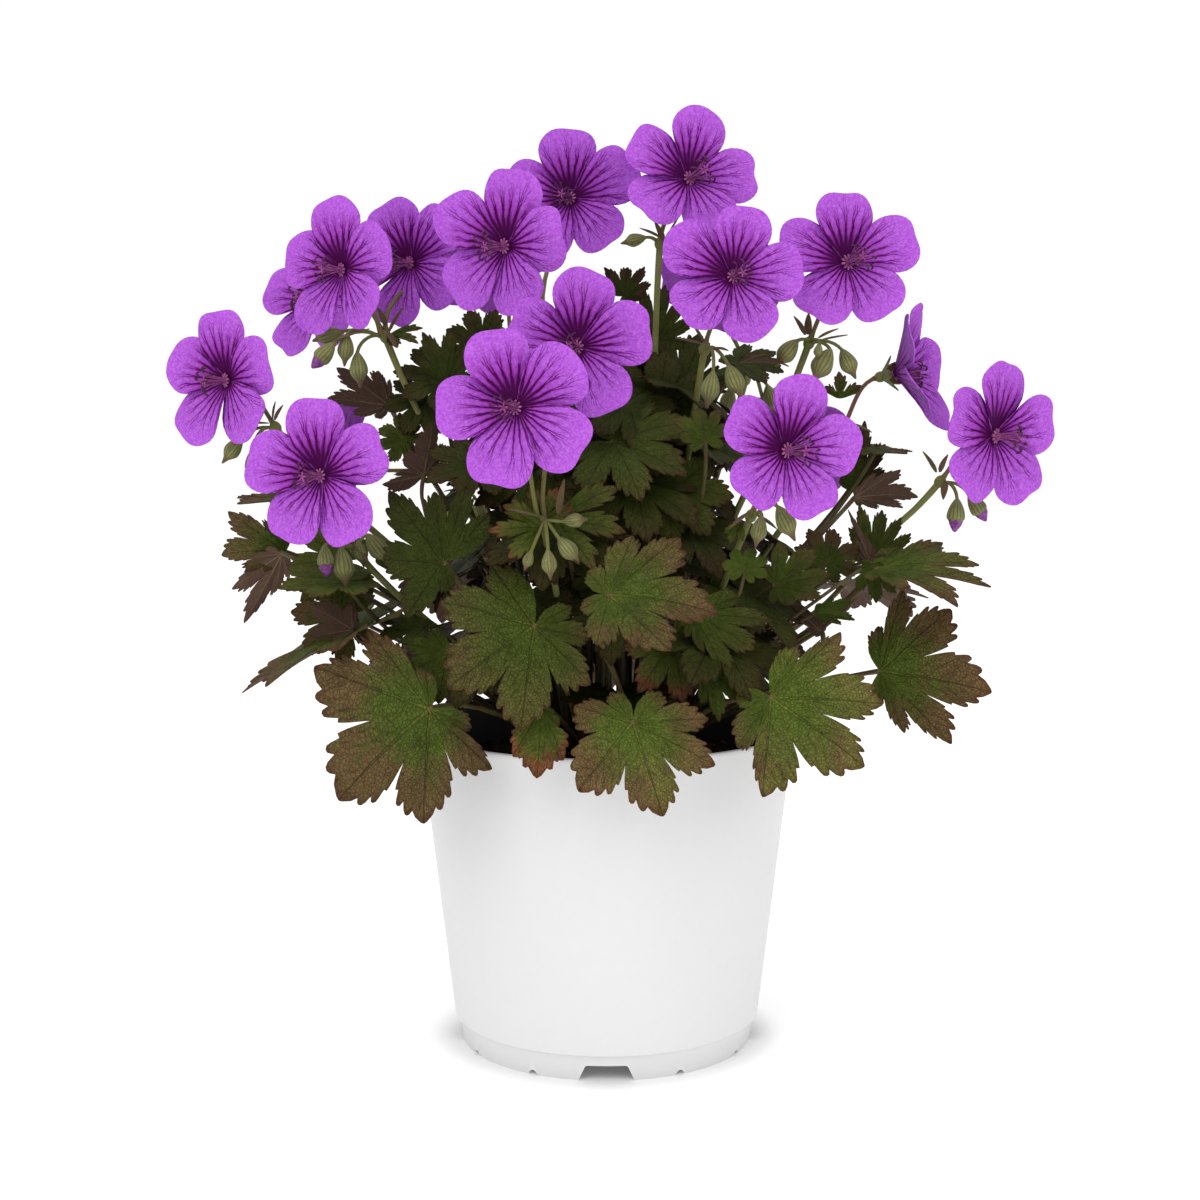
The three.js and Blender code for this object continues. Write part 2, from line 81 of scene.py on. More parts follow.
MM = 0.001
UP = Vector((0, 0, 1))
DOUBLES = 1e-5  # points nearer to each other than this become one
SMOOTH_EDGES = 60  # degrees between faces that still look like one

# ------------------------------------------------------------------ the plant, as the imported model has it

CROWN_RADIUS = 22
CROWN_HEIGHT = 9
SOIL_LEVEL = 97
TOUCH_GAP = 0.35  # between solids that grow from each other
CROWN_FOOT = SOIL_LEVEL + TOUCH_GAP
STEM_PULL = 0.35  # how far a stem keeps its first direction, as a share of its length
UPTURN = 0.35  # how much a fork turns up from the line to the crown
PEDICEL_SPREAD = 1.4
FLOWER_RADIUS = 24.5
CALYX_DEPTH = 0.22 * FLOWER_RADIUS
FORK_RADIUS = 2.3
FORK_LENGTH = 4
ROOT_LEVELS = (115, 275)  # heights of stems that start lowest and highest on the crown
ROOT_TILTS = (14, 66)  # and how far up its dome they start, in degrees

# name: (where the petiole meets the blade, tip of the middle lobe, way the upper side looks, extras).
# Among the extras, lobes are (degrees from the middle lobe, length as a share of it) for each lobe,
# tone is (how bronze, how light, how red at the tips), where how light is painted light or shade for
# where the leaf sits in the plant, and swing turns the petiole's root, in degrees.
LEAVES = {
    "front_left": ((-55, -60, 124), (-84, -60, 95), (-0.25, -0.93, 0.25),
        {"lobes": ((-124, 0.3), (-94, 0.82), (-63, 0.96), (0, 1), (46, 0.86), (94, 0.67), (113, 0.35)),
         "tone": (1.25, 0.92, 0.2)}),
    "front_middle": ((-22, -67, 151), (-26, -78, 120), (0, -0.93, 0.35),
        {"lobes": ((-142, 0.8), (-100, 0.9), (-45, 0.98), (0, 1), (49, 0.76), (82, 0.5), (130, 0.4))}),
    "front_upper": ((1, -86, 163), (33, -90, 158), (0, -0.85, 0.5),
        {"lobes": ((-150, 0.3), (-92, 0.5), (-36, 0.8), (0, 1), (50, 0.82), (80, 0.6), (140, 0.35)),
         "swing": 18, "tone": (0.85, 0.9, 0.2)}),
    "over_rim": ((8, -78, 123), (17, -87, 96), (0.05, -0.93, 0.35),
        {"lobes": ((-165, 0.42), (-126, 0.62), (-55, 0.9), (0, 1), (44, 0.93), (75, 0.76), (122, 0.44)),
         "tone": (0.95, 1.2, 0.3)}),
    "front_right": ((51, -62, 128), (80, -66, 107), (0.1, -0.93, 0.3),
        {"lobes": ((-150, 0.3), (-88, 0.52), (-60, 0.86), (0, 1), (33, 0.97), (79, 0.83), (98, 0.5)),
         "tone": (0.7, 1.2, 0.1)}),
    "right_low": ((90, -22, 130), (126, -28, 124), (-0.1, -0.93, 0.3),
        {"lobes": ((-80, 0.3), (-58, 0.6), (-36, 0.9), (0, 1), (51, 0.82), (84, 0.75), (102, 0.4)),
         "tone": (1.1, 1.0, 0.4)}),
    "left_middle": ((-51, -50, 169), (-69, -41, 191), (-0.1, -0.9, 0.3),
        {"lobes": ((-81, 0.69), (-54, 0.84), (-29, 0.76), (0, 1), (50, 0.63), (108, 0.7), (155, 0.3)),
         "tone": (0.3, 0.47, 0)}),
    "left_far": ((-109, 3, 167), (-132, 10, 165), (-0.3, -0.85, 0.4),
        {"lobes": ((-85, 0.3), (-60, 0.5), (-34, 1.1), (0, 1), (30, 0.6), (50, 0.4), (70, 0.25))}),
    "left_droop": ((-83, -21, 143), (-120, -23, 123), (-0.47, -0.05, 0.88), {"curl": 0.1, "sag": 0}),
    "left_upper": ((-74, 14, 216), (-92, 15, 229), (0.1, 0.95, 0.1),
        {"lobes": ((-75, 0.3), (-50, 0.6), (-29, 0.98), (0, 1), (36, 0.55), (55, 0.4), (70, 0.2)),
         "swing": -12}),
    "right_middle": ((20, -34, 190), (33, -44, 179), (0.1, -0.85, 0.5), {"tone": (0.4, 0.65, 0.2)}),
    "right_inner": ((27, -52, 153), (38, -57, 133), (0.1, -0.93, 0.3),
        {"lobes": ((-70, 0.25), (-45, 0.35), (-20, 0.5), (0, 1), (31, 0.95), (57, 1.05), (81, 0.7))}),
    "right_far": ((87, -32, 165), (122, -44, 160), (0.02, -0.28, 0.95),
        {"lobes": ((-85, 0.3), (-55, 0.6), (-31, 0.95), (0, 1), (24, 0.9), (57, 0.8), (80, 0.5)),
         "curl": 0.2}),
    "centre_upper": ((2, -34, 206), (25, -46, 198), (0, -0.7, 0.7), {"tone": (0.4, 0.7, 0.2)}),
    "back_left": ((-50, 70, 158), (-68, 96, 148), (-0.4, 0.7, 0.6), {}),
    "back_middle": ((-2, 76, 166), (-4, 106, 154), (0, 0.75, 0.65), {}),
    "back_right": ((46, 68, 150), (66, 94, 142), (0.4, 0.7, 0.6), {}),
    "back_left_low": ((-66, 44, 126), (-84, 64, 106), (-0.6, 0.5, 0.6), {}),
    "back_far_right": ((84, 34, 152), (112, 48, 148), (0.3, 0.3, 0.9), {}),
    "back_over_rim": ((8, 74, 120), (14, 94, 96), (0.1, 0.8, 0.55), {}),
}

# Lobes of a leaf that is seen folded.
FOLDED = ((-60, 0.15), (-36, 0.28), (-15, 0.42), (0, 1), (15, 0.42), (36, 0.28), (60, 0.15))

# Smaller leaves between those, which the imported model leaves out.
SMALL_LEAVES = {
    "left_under": ((-109, -3, 167), (-124, 5, 142), (0.2, 0.95, 0.2),
        {"lobes": ((-60, 0.15), (-40, 0.3), (-15, 0.5), (0, 1), (23, 0.8), (45, 0.4), (70, 0.2))}),
    "left_brown": ((-83, -24, 144), (-97, -23, 152), (0.1, 0.95, 0.1),
        {"lobes": ((-90, 0.2), (-65, 0.5), (-40, 0.95), (0, 1), (57, 0.8), (75, 0.4), (90, 0.2))}),
    "left": ((-87, -10, 147), (-106, -8, 148), (-0.1, -0.9, 0.4), {"tone": (0.8, 0.9, 0)}),
    "left_edge": ((-84, -34, 161), (-105, -40, 160), (0, -0.2, 0.97),
        {"curl": 0.1, "sag": 0, "tone": (0.3, 1.1, 0)}),
    "left_olive": ((-86, -20, 166), (-105, -22, 167), (-0.1, -0.8, 0.6), {"tone": (0.3, 0.95, 0)}),
    "left_spike": ((-103, 0, 185), (-125, 4, 183), (0, -0.1, 1), {"curl": 0.1, "sag": 0}),
    "left_high": ((-60, -14, 194), (-57, -16, 211), (0.05, 0.95, 0.1),
        {"lobes": ((-113, 0.8), (-90, 0.45), (-66, 0.5), (0, 1), (26, 0.7), (50, 0.4), (70, 0.2))}),
    "left_inner": ((-55, 0, 225), (-70, -4, 231), (0.1, -0.75, 0.6), {"tone": (0.7, 0.55, 0)}),
    "left_top": ((-53, -8, 224), (-51, -2, 242), (0.1, -0.93, 0.3),
        {"lobes": ((-63, 0.45), (-36, 0.8), (-17, 1), (0, 1), (31, 1), (62, 0.6), (80, 0.3)),
         "tone": (0.6, 0.5, 0)}),
    "middle_top": ((-42, 6, 236), (-45, 2, 249), (0.1, -0.9, 0.3), {"tone": (0.6, 0.6, 0)}),
    "left_dark": ((-60, 0, 219), (-68, -6, 207), (0, -0.9, 0.4), {"tone": (0.7, 0.45, 0)}),
    "left_olive_low": ((-67, -6, 205), (-75, -8, 211), (0, -0.8, 0.5), {"tone": (0.3, 0.9, 0)}),
    "behind_front": ((-41, -22, 197), (-59, -28, 193), (0, -0.6, 0.8), {"tone": (0.7, 0.55, 0)}),
    "behind_left": ((-50, -46, 140), (-53, -52, 124), (0, -0.9, 0.4), {"tone": (0.1, 0.8, 0)}),
    "left_bright": ((-59, -30, 145), (-73, -38, 145), (0, -0.4, 0.9), {"tone": (0, 0.95, 0)}),
    "under_front": ((-11, -30, 164), (-19, -36, 151), (0, -0.85, 0.5), {"tone": (0.6, 0.45, 0)}),
    "under_upper": ((-2, -34, 162), (-5, -36, 173), (0, -0.85, 0.5), {"tone": (0.5, 0.4, 0)}),
    "top": ((24, 6, 219), (19, 0, 244), (0.3, -0.8, 0.4), {"tone": (0.6, 0.5, 0)}),
    "top_right": ((16, 10, 237), (20, 17, 257), (0.1, -0.93, 0.3),
        {"lobes": ((-75, 0.5), (-46, 0.74), (-22, 0.87), (0, 1), (24, 0.93), (46, 0.6), (66, 0.3)),
         "tone": (0.7, 0.55, 0)}),
    "centre": ((31, -46, 207), (29, -40, 217), (0, -0.85, 0.5),
        {"lobes": ((-116, 0.5), (-64, 0.7), (-32, 1), (0, 1), (43, 1.1), (75, 0.7), (112, 0.5)),
         "tone": (0.5, 0.85, 0)}),
    "bright": ((43, -54, 167), (44, -57, 175), (-0.1, -0.8, 0.6), {"tone": (0, 1.2, 0)}),
    "right": ((54, -36, 160), (73, -31, 163), (0.2, -0.93, 0.3),
        {"lobes": ((-110, 0.3), (-67, 0.4), (-25, 0.8), (0, 1), (29, 0.93), (72, 0.74), (102, 0.36))}),
    "low": ((21, -50, 144), (24, -58, 126), (0.2, -0.9, 0.4), {"tone": (0.6, 0.75, 1.2)}),
    "low_green": ((31, -54, 137), (35, -61, 120), (0.2, -0.9, 0.4),
        {"lobes": ((-73, 0.3), (-44, 0.5), (-21, 0.7), (0, 1), (32, 0.8), (52, 0.45), (80, 0.2)),
         "tone": (0, 0.8, 0)}),
    "right_top": ((82, 2, 188), (88, 12, 211), (0.3, -0.9, 0.3),
        {"lobes": ((-70, 0.35), (-44, 0.55), (-23, 0.8), (0, 1), (21, 0.8), (40, 0.5), (60, 0.2)),
         "tone": (0.9, 0.6, 0)}),
    "right_spike": ((90, 0, 201), (103, 2, 202), (0, -0.1, 1), {"curl": 0.1, "sag": 0}),
    "right_high": ((83, -4, 186), (104, -7, 186), (0.1, 0.8, 0.5),
        {"lobes": ((-74, 0.2), (-54, 0.5), (-33, 0.85), (0, 1), (18, 0.8), (38, 0.45), (60, 0.2))}),
    "right_side": ((88, -12, 164), (92, -6, 182), (0, -0.93, 0.3),
        {"lobes": ((-60, 0.7), (-39, 0.87), (-20, 0.98), (0, 1), (22, 1.08), (43, 0.75), (66, 0.4)),
         "tone": (0.4, 0.7, 0)}),
    "right_fold": ((86, -24, 166), (97, -22, 161), (0, 0.93, 0.3),
        {"lobes": ((-103, 0.2), (-54, 0.45), (-26, 0.86), (0, 1), (20, 0.8), (40, 0.48), (60, 0.24))}),
    "right_strip": ((87, -18, 165), (79, -20, 183), (0.3, 0.9, 0.2), {"lobes": FOLDED}),
    "right_cup": ((86, -30, 166), (87, -34, 154), (0, -0.93, 0.3),
        {"lobes": ((-110, 0.3), (-77, 0.5), (-38, 0.8), (0, 1), (34, 0.95), (63, 0.7), (93, 0.25)),
         "tone": (0, 0.75, 0)}),
    "right_low": ((67, -36, 151), (80, -36, 149), (0.1, -0.85, 0.5),
        {"lobes": ((-60, 0.15), (-38, 0.4), (-16, 0.7), (0, 1), (31, 1), (50, 0.6), (70, 0.3)),
         "tone": (0, 0.9, 0)}),
    "right_inner": ((70, -32, 144), (54, -31, 158), (0.3, 0.9, 0.3), {"lobes": FOLDED}),
    "right_brown": ((72, -22, 166), (76, -26, 177), (0.2, -0.85, 0.4), {"tone": (1.3, 0.6, 0.5)}),
    "upper": ((44, 4, 230), (59, 0, 233), (0.1, -0.5, 0.9), {}),
    "rim": ((-20, -70, 126), (-21, -80, 106.5), (0.1, -0.9, 0.4),
        {"lobes": ((-70, 0.2), (-50, 0.35), (-26, 0.8), (0, 1), (26, 0.8), (50, 0.35), (70, 0.2)),
         "tone": (0.3, 1.2, 1.2), "gape": -0.7}),
    "high": ((16, -8, 212), (21, -12, 236), (0.1, -0.9, 0.3), {"tone": (0.5, 0.5, 0)}),
    "fork": ((6, 10, 253), (13, 14, 263), (0.1, -0.93, 0.3),
        {"lobes": ((-110, 0.24), (-70, 0.44), (-32, 0.77), (0, 1), (26, 0.78), (69, 0.91), (97, 0.43)),
         "tone": (1.3, 0.5, 0.8)}),
}

# name: (fork, swing of its root in degrees, its flowers: {name: (throat, facing, roll in degrees)})
SCAPES = {
    "scape_left_high": ((-74, -4, 241), 0, {
        "flower_left_high": ((-86, -10, 261), (-0.5, -0.86, 0.1), 6),
        "flower_left_inner": ((-66, 14, 264), (-0.35, -0.9, 0.15), 25),
        "flower_left_behind": ((-100, 36, 252), (-0.5, -0.8, 0.3), 10),
    }),
    "scape_left_far": ((-111, -6, 211), 0, {
        "flower_left_far": ((-125, -8, 225), (-0.5, -0.85, 0.1), 2),
    }),
    "scape_left_low": ((-82, -30, 172), 0, {
        "flower_left_low": ((-89, -48, 196), (-0.28, -0.95, 0.1), 4),
    }),
    "scape_middle_high": ((-22, -4, 248), -30, {
        "flower_middle_left": ((-32, -24, 268), (-0.4, -0.9, 0.05), -13),
        "flower_middle_top": ((-12, 14, 285.5), (0, -0.97, 0.22), 5),
    }),
    "scape_top": ((18, 4, 272), 0, {
        "flower_top": ((27, 2, 291), (0.2, -0.9, 0.38), -17),
    }),
    "scape_right_high": ((32, -22, 237), 0, {
        "flower_right_inner": ((40, -32, 258), (-0.05, -0.95, 0.22), -15),
    }),
    "scape_right_upper": ((67, -12, 239), 0, {
        "flower_right_high": ((78, -14, 263), (0.08, -0.95, 0.28), 2),
    }),
    "scape_right_side": ((80, -2, 211), 0, {
        "flower_right_side": ((96, 2, 227), (0.92, -0.33, 0.24), -18),
    }),
    "scape_right_far": ((112, -8, 193), 10, {
        "flower_right_far": ((127, -14, 207), (0.52, -0.85, 0), -7),
    }),
    "scape_right_front": ((46, -48, 185), 18, {
        "flower_right_front": ((54, -70, 205), (0.27, -0.95, 0.1), -14),
    }),
    "scape_front": ((-20, -58, 184), 0, {
        "flower_front": ((-27, -74, 218), (-0.05, -0.98, 0.12), 20),
        "flower_front_upper": ((-9, -42, 236), (0.04, -0.97, 0.12), -5),
    }),
    "scape_back_left": ((-34, 44, 240), 0, {
        "flower_back_left": ((-40, 60, 266), (-0.4, 0.75, 0.5), 12),
    }),
    "scape_back_right": ((50, 46, 226), 0, {
        "flower_back_upper": ((40, 60, 258), (0.3, 0.8, 0.5), -20),
        "flower_back_right": ((70, 80, 200), (0.55, 0.78, 0.3), 5),
    }),
    "scape_back_low": ((-52, 62, 184), 0, {
        "flower_back_middle": ((-34, 92, 208), (-0.05, 0.93, 0.35), -8),
        "flower_back_far_left": ((-98, 62, 194), (-0.75, 0.6, 0.25), 15),
    }),
}

FUNNELS = {"flower_right_side": 0.38}  # flowers that are deeper than a saucer, and by how much
FLOWER_SIZES = {  # flowers that are larger or smaller than the others
    "flower_left_high": 0.94, "flower_left_inner": 0.91, "flower_left_far": 0.95, "flower_top": 0.98,
    "flower_middle_top": 0.97, "flower_right_inner": 0.95, "flower_right_high": 0.97, "flower_front": 1.03,
    "flower_right_front": 0.91, "flower_right_side": 0.97, "flower_left_behind": 0.9,
}
PEDICEL_RED = {"flower_right_side": 0.8, "flower_front": 0.05}  # where it isn't the usual
USUAL_RED = 0.3

# name: (the scape whose fork carries the cluster, its buds by neck, tip and how far each is open)
BUD_CLUSTERS = {
    "buds_left": ("scape_left_high", (
        ((-88, -1, 241), (-98, 2, 238), 0), ((-89, -15, 237), (-96, -18, 229), 0.12),
        ((-85, -12, 240), (-86, -12, 230), 0), ((-82, -10, 234), (-81, -11, 223), 0))),
    "buds_front": ("scape_front", (
        ((-13, -64, 183), (-6, -68, 184), 0), ((-14.5, -66, 178), (-8.5, -70, 171), 0),
        ((-17.8, -68, 174.5), (-17, -70, 166), 0), ((-23, -66, 174), (-25, -68, 168.5), 0))),
    "buds_right": ("scape_right_upper", (
        ((62, -16, 238), (55, -20, 230), 0), ((73, -16, 235), (67, -22, 225), 0),
        ((77, -14, 235), (81, -18, 226), 0))),
}
SMALL_BUD_CLUSTERS = {
    "buds_right_small": ("scape_right_upper", (((69, -20, 237), (68, -22, 232), 0),)),
    "buds_left_far": ("scape_left_far", (
        ((-121, -8, 206), (-127, -10, 198), 0), ((-118, -3, 202), (-118, -3, 191), 0))),
    "buds_left_low": ("scape_left_low", (
        ((-90, -38, 173), (-89, -40, 163), 0.35), ((-85, -36, 172), (-83, -40, 160), 0),
        ((-80, -32, 174), (-78, -34, 166), 0), ((-77, -32, 176), (-70, -34, 167), 0))),
    "buds_middle": ("scape_top", (((13, 0, 272), (5, 0, 270), 0),)),
    "buds_right_inner": ("scape_right_high", (
        ((34, -32, 228), (32, -34, 217), 0), ((39, -30, 230), (43, -34, 220), 0))),
    "buds_right_far": ("scape_right_far", (
        ((116, -12, 186), (115, -14, 175), 0.2), ((121, -6, 187), (127, -6, 178), 0.2))),
    "buds_right_front": ("scape_right_front", (
        ((48, -58, 184), (46, -60, 175), 0), ((53, -58, 187), (58, -60, 177), 0))),
    "buds_back_left": ("scape_back_left", (
        ((-42, 55, 236), (-45, 58, 226), 0), ((-32, 56, 234), (-29, 60, 225), 0))),
    "buds_back_right": ("scape_back_right", (
        ((58, 55, 222), (61, 58, 212), 0), ((45, 56, 221), (43, 60, 211), 0))),
    "buds_back_low": ("scape_back_low", (
        ((-56, 70, 178), (-58, 74, 168), 0), ((-48, 72, 179), (-45, 76, 170), 0))),
}

# Small three-lobed leaves at the forks, by where they are held, the tip of the middle lobe and the
# way their upper side looks.
FORK_LEAVES = {
    "front_left": ((-20, -60, 181), (-37, -61, 180), (0, -0.9, 0.4),
        {"lobes": ((-32, 0.8), (0, 1), (41, 0.86)), "tone": (0.5, 1.2, 1.0)}),
    "front_right": ((-16, -57, 183), (6, -62, 181), (0, -0.75, 0.65), {"tone": (0.4, 0.9, 0.5)}),
    "front_up": ((-20, -57, 183), (-15, -60, 193), (0.1, -0.9, 0.2), {"tone": (0.7, 1.3, 1.2)}),
    "right_low": ((77, -8, 219), (77, -5, 228), (0.1, -0.93, 0.3),
        {"lobes": ((-59, 0.93), (0, 1), (51, 0.66)), "tone": (0.9, 0.95, 0.4)}),
    "right_edge": ((43, -20, 231), (58, -24, 237), (0.1, 0.1, 0.98), {}),
    "left_low": ((-75, -28, 167), (-66, -30, 173), (0, -0.5, 0.85), {}),
    "right_front": ((42, -50, 181), (38, -52, 175), (-0.6, -0.6, 0.5), {"tone": (0.1, 1.2, 0)}),
    "left_inner": ((-72, -4, 240), (-62, -8, 236), (0, -0.5, 0.85), {}),
}

# Narrow bracts at the forks, by foot and tip.
BRACTS = {
    "scape_right_upper": (((65, -14, 240), (61, -17, 246)), ((66, -12, 240), (66, -13, 247)),
                          ((69, -16, 239), (75, -20, 242)), ((69, -12, 238), (79, -12, 240)),
                          ((64, -13, 239), (60, -17, 236))),
    "scape_right_far": (((109, -12, 195), (104, -15, 202)), ((110, -12, 195), (112, -15, 201)),
                        ((112, -12, 192), (111, -14, 186))),
    "scape_left_far": (((-110, -8, 212), (-107, -9, 217)), ((-111, -6, 212), (-110, -6, 218)),
                       ((-112, -8, 211), (-116, -11, 211))),
    "scape_right_high": (((31, -25, 237), (22, -31, 239)), ((31, -23, 238), (28, -24, 243)),
                         ((34, -24, 236), (39, -29, 235))),
    "scape_left_high": (((-78, -10, 242), (-89, -16, 238)), ((-72, -6, 241), (-67, -8, 249)),
                        ((-72, -8, 241), (-69, -13, 236)), ((-73, -5, 243), (-75, -10, 249))),
    "scape_top": (((18, 0, 272), (11, -3, 275)), ((20, 2, 272), (24, 2, 279)),
                  ((19, 0, 271), (16, -4, 277))),
    "scape_front": (((-15, -60, 185), (-13, -63, 196)), ((-19, -60, 184), (-14, -63, 176)),
                    ((-20, -60, 184), (-30, -64, 187))),
    "scape_left_low": (((-81, -33, 173), (-76, -37, 168)), ((-83, -31, 174), (-90, -36, 178))),
    "scape_right_front": (((45, -50, 185), (38, -54, 180)), ((47, -50, 184), (53, -54, 180))),
    "scape_middle_high": (((-22, -5, 248), (-16, -8, 244)), ((-23, -4, 248), (-29, -8, 246))),
    "scape_right_side": (((81, -4, 211), (88, -8, 208)), ((79, -4, 211), (73, -8, 209))),
    "scape_back_left": (((-34, 46, 240), (-40, 52, 244)), ((-33, 46, 240), (-27, 52, 243))),
    "scape_back_right": (((50, 48, 226), (44, 54, 230)), ((51, 48, 226), (58, 52, 224))),
    "scape_back_low": (((-52, 64, 184), (-46, 70, 187)), ((-53, 64, 184), (-60, 68, 183))),
}


# ------------------------------------------------------------------ settings

def size(name, description, millimetres):
    return FloatProperty(name=name, description=description, default=millimetres * MM, unit="LENGTH")


def tint(name, description, default):
    return FloatVectorProperty(name=name, description=description, default=default, size=3,
                               subtype="COLOR", min=0, max=1)


class PotSettings(PropertyGroup):
    height: size("Height", "From the table to the top of the rim", POT_BOX[1].z / MM)
    rim_radius: size("Rim radius", "Outer radius of the rim", POT_BOX[1].x / MM)
    wall: size("Wall", "Thickness of the pot's wall", 1.3)
    outside: tint("Outside", "Colour of the outside", (0.77, 0.77, 0.77))
    inside: tint("Inside", "Colour of the inside", (0.012, 0.012, 0.013))


class LeafSettings(PropertyGroup):
    thickness: size("Thickness", "Thickness of a blade", 0.4)
    petiole: size("Petiole radius", "Radius of a leaf's stalk", 0.95)
    fillers: IntProperty(name="Inner leaves", description="Leaves in the shade inside the plant", default=62)
    green: tint("Green", "Colour of the middle of a blade", (0.082, 0.118, 0.016))
    bronze: tint("Bronze", "Colour towards the edge of a blade", (0.152, 0.080, 0.040))
    olive: tint("Olive", "Second colour towards the edge of a blade", (0.150, 0.124, 0.036))
    underside: tint("Underside", "Colour of the lower side", (0.085, 0.047, 0.034))


class FlowerSettings(PropertyGroup):
    radius: size("Radius", "From the throat to a petal's tip", FLOWER_RADIUS)
    thickness: size("Petal thickness", "Thickness of a petal", 0.3)
    violet: tint("Violet", "Colour of the petals", (0.50, 0.115, 0.76))
    vein: tint("Veins", "Colour of the veins on the petals", (0.12, 0.004, 0.14))
    throat: tint("Throat", "Colour round the throat", (0.06, 0.003, 0.058))


class StemSettings(PropertyGroup):
    scape: size("Flowering stem radius", "Radius of a flowering stem", 1.15)
    pedicel: size("Pedicel radius", "Radius of a flower's own stalk", 0.75)
    green: tint("Green", "Colour of the stems", (0.165, 0.185, 0.05))
    red: tint("Red", "Colour of the stems near the flowers", (0.20, 0.085, 0.055))


class GeraniumSettings(PropertyGroup):
    pot: PointerProperty(type=PotSettings)
    leaf: PointerProperty(type=LeafSettings)
    flower: PointerProperty(type=FlowerSettings)
    stem: PointerProperty(type=StemSettings)


def settings():
    return bpy.context.scene.geranium


# ------------------------------------------------------------------ small tools

def select(*objects):
    bpy.ops.object.select_all(action="DESELECT")
    for thing in objects:
        thing.select_set(True)
    bpy.context.view_layer.objects.active = objects[0]


@contextmanager
def editing(thing, action="SELECT"):
    """Edit mode with the whole mesh selected, or with DESELECT none of it."""
    select(thing)
    bpy.ops.object.mode_set(mode="EDIT")
    bpy.ops.mesh.select_all(action=action)
    yield
    bpy.ops.object.mode_set(mode="OBJECT")


def named(name):
    """The object that an operator has just added, with its own name."""
    thing = bpy.context.object
    thing.name = thing.data.name = name
    return thing


def copy_of(thing, name):
    twin = thing.copy()
    twin.data = thing.data.copy()
    twin.name = twin.data.name = name
    bpy.context.collection.objects.link(twin)
    return twin


def joined(things, name):
    select(*things)
    if len(things) > 1:
        bpy.ops.object.join()
    return named(name)


def remove(*things):
    for thing in things:
        bpy.data.objects.remove(thing)


def apply_place(thing):
    select(thing)
    bpy.ops.object.transform_apply(location=True, rotation=True, scale=True)
    return thing


def apply_modifier(thing, kind, **values):
    select(thing)
    modifier = thing.modifiers.new(kind.title(), kind)
    for key, value in values.items():
        setattr(modifier, key, value)
    bpy.ops.object.modifier_apply(modifier=modifier.name)
    return thing


def thicken(sheet, thickness, **values):
    """Gives a sheet its thickness below the face that it has."""
    return apply_modifier(sheet, "SOLIDIFY", thickness=thickness, offset=-1, **values)


def shade_smooth(thing, degrees=None):
    select(thing)
    if degrees is None:
        bpy.ops.object.shade_smooth()
    else:
        bpy.ops.object.shade_smooth_by_angle(angle=math.radians(degrees))
    return thing


def points_of(thing):
    flat = np.empty(len(thing.data.vertices) * 3)
    thing.data.vertices.foreach_get("co", flat)
    return flat.reshape(-1, 3)


def set_points(thing, points):
    thing.data.vertices.foreach_set("co", np.ascontiguousarray(points, dtype=float).ravel())
    thing.data.update()


def move_points(thing, matrix):
    thing.data.transform(matrix)
    thing.data.update()
    return thing


def rows(*columns):
    """Columns of numbers side by side; a single number fills its column."""
    return np.stack(np.broadcast_arrays(*columns), axis=1)


def close_below(thing, drop, taper=1, inset=0):
    """Runs a shell's open edge down by drop, narrows and fills it, and turns all faces outwards."""
    with editing(thing, "DESELECT"):
        bpy.ops.mesh.select_non_manifold()
        bpy.ops.mesh.extrude_edges_move(TRANSFORM_OT_translate={"value": (0, 0, -drop * MM)})
        bpy.ops.transform.resize(value=(taper, taper, 1), center_override=(0, 0, 0))
        bpy.ops.mesh.edge_face_add()
        if inset:
            bpy.ops.mesh.inset(thickness=inset * MM)
            bpy.ops.mesh.poke()
        bpy.ops.mesh.select_all(action="SELECT")
        bpy.ops.mesh.normals_make_consistent(inside=False)


def face_up(thing):
    """Turns an open sheet that was laid flat so that its faces look along +Z."""
    if sum(face.normal.z * face.area for face in thing.data.polygons) < 0:
        thing.data.flip_normals()


def set_uv(thing, pairs):
    """Gives each corner the UV of its vertex."""
    layer = thing.data.uv_layers.new(name="surface")
    corners = np.empty(len(thing.data.loops), dtype=int)
    thing.data.loops.foreach_get("vertex_index", corners)
    layer.data.foreach_set("uv", np.ascontiguousarray(pairs[corners], dtype=float).ravel())


def set_tone(thing, values):
    """A colour attribute: three values for the whole piece, or three for each vertex."""
    tone = thing.data.attributes.get("tone") or thing.data.attributes.new("tone", "FLOAT_COLOR", "POINT")
    table = np.ones((len(thing.data.vertices), 4))
    table[:, :3] = values
    tone.data.foreach_set("color", table.ravel())


def give(thing, *materials):
    thing.data.materials.clear()
    for material in materials:
        thing.data.materials.append(material)
    return thing


def keep(thing, slot, *nodes):
    """Lets a finished piece move with the plant and hides the CAD nodes that it stands for; slot is not used.
    """
    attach(thing, "root")
    if nodes:
        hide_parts(*nodes)


def metres(place):
    return Vector(place) * MM


def turned(degrees, axis="Z"):
    return Matrix.Rotation(math.radians(degrees), 4, axis)


def frame_at(origin, ahead, face):
    """A matrix whose Z looks along face and whose X points as nearly as it can along ahead."""
    normal = Vector(face).normalized()
    forward = Vector(ahead) - Vector(ahead).dot(normal) * normal
    forward.normalize()
    side = normal.cross(forward)
    matrix = Matrix((forward, side, normal)).transposed().to_4x4()
    matrix.translation = origin
    return matrix


def smooth(low, high, value):
    part = np.clip((value - low) / (high - low), 0, 1)
    return part * part * (3 - 2 * part)


# ------------------------------------------------------------------ materials

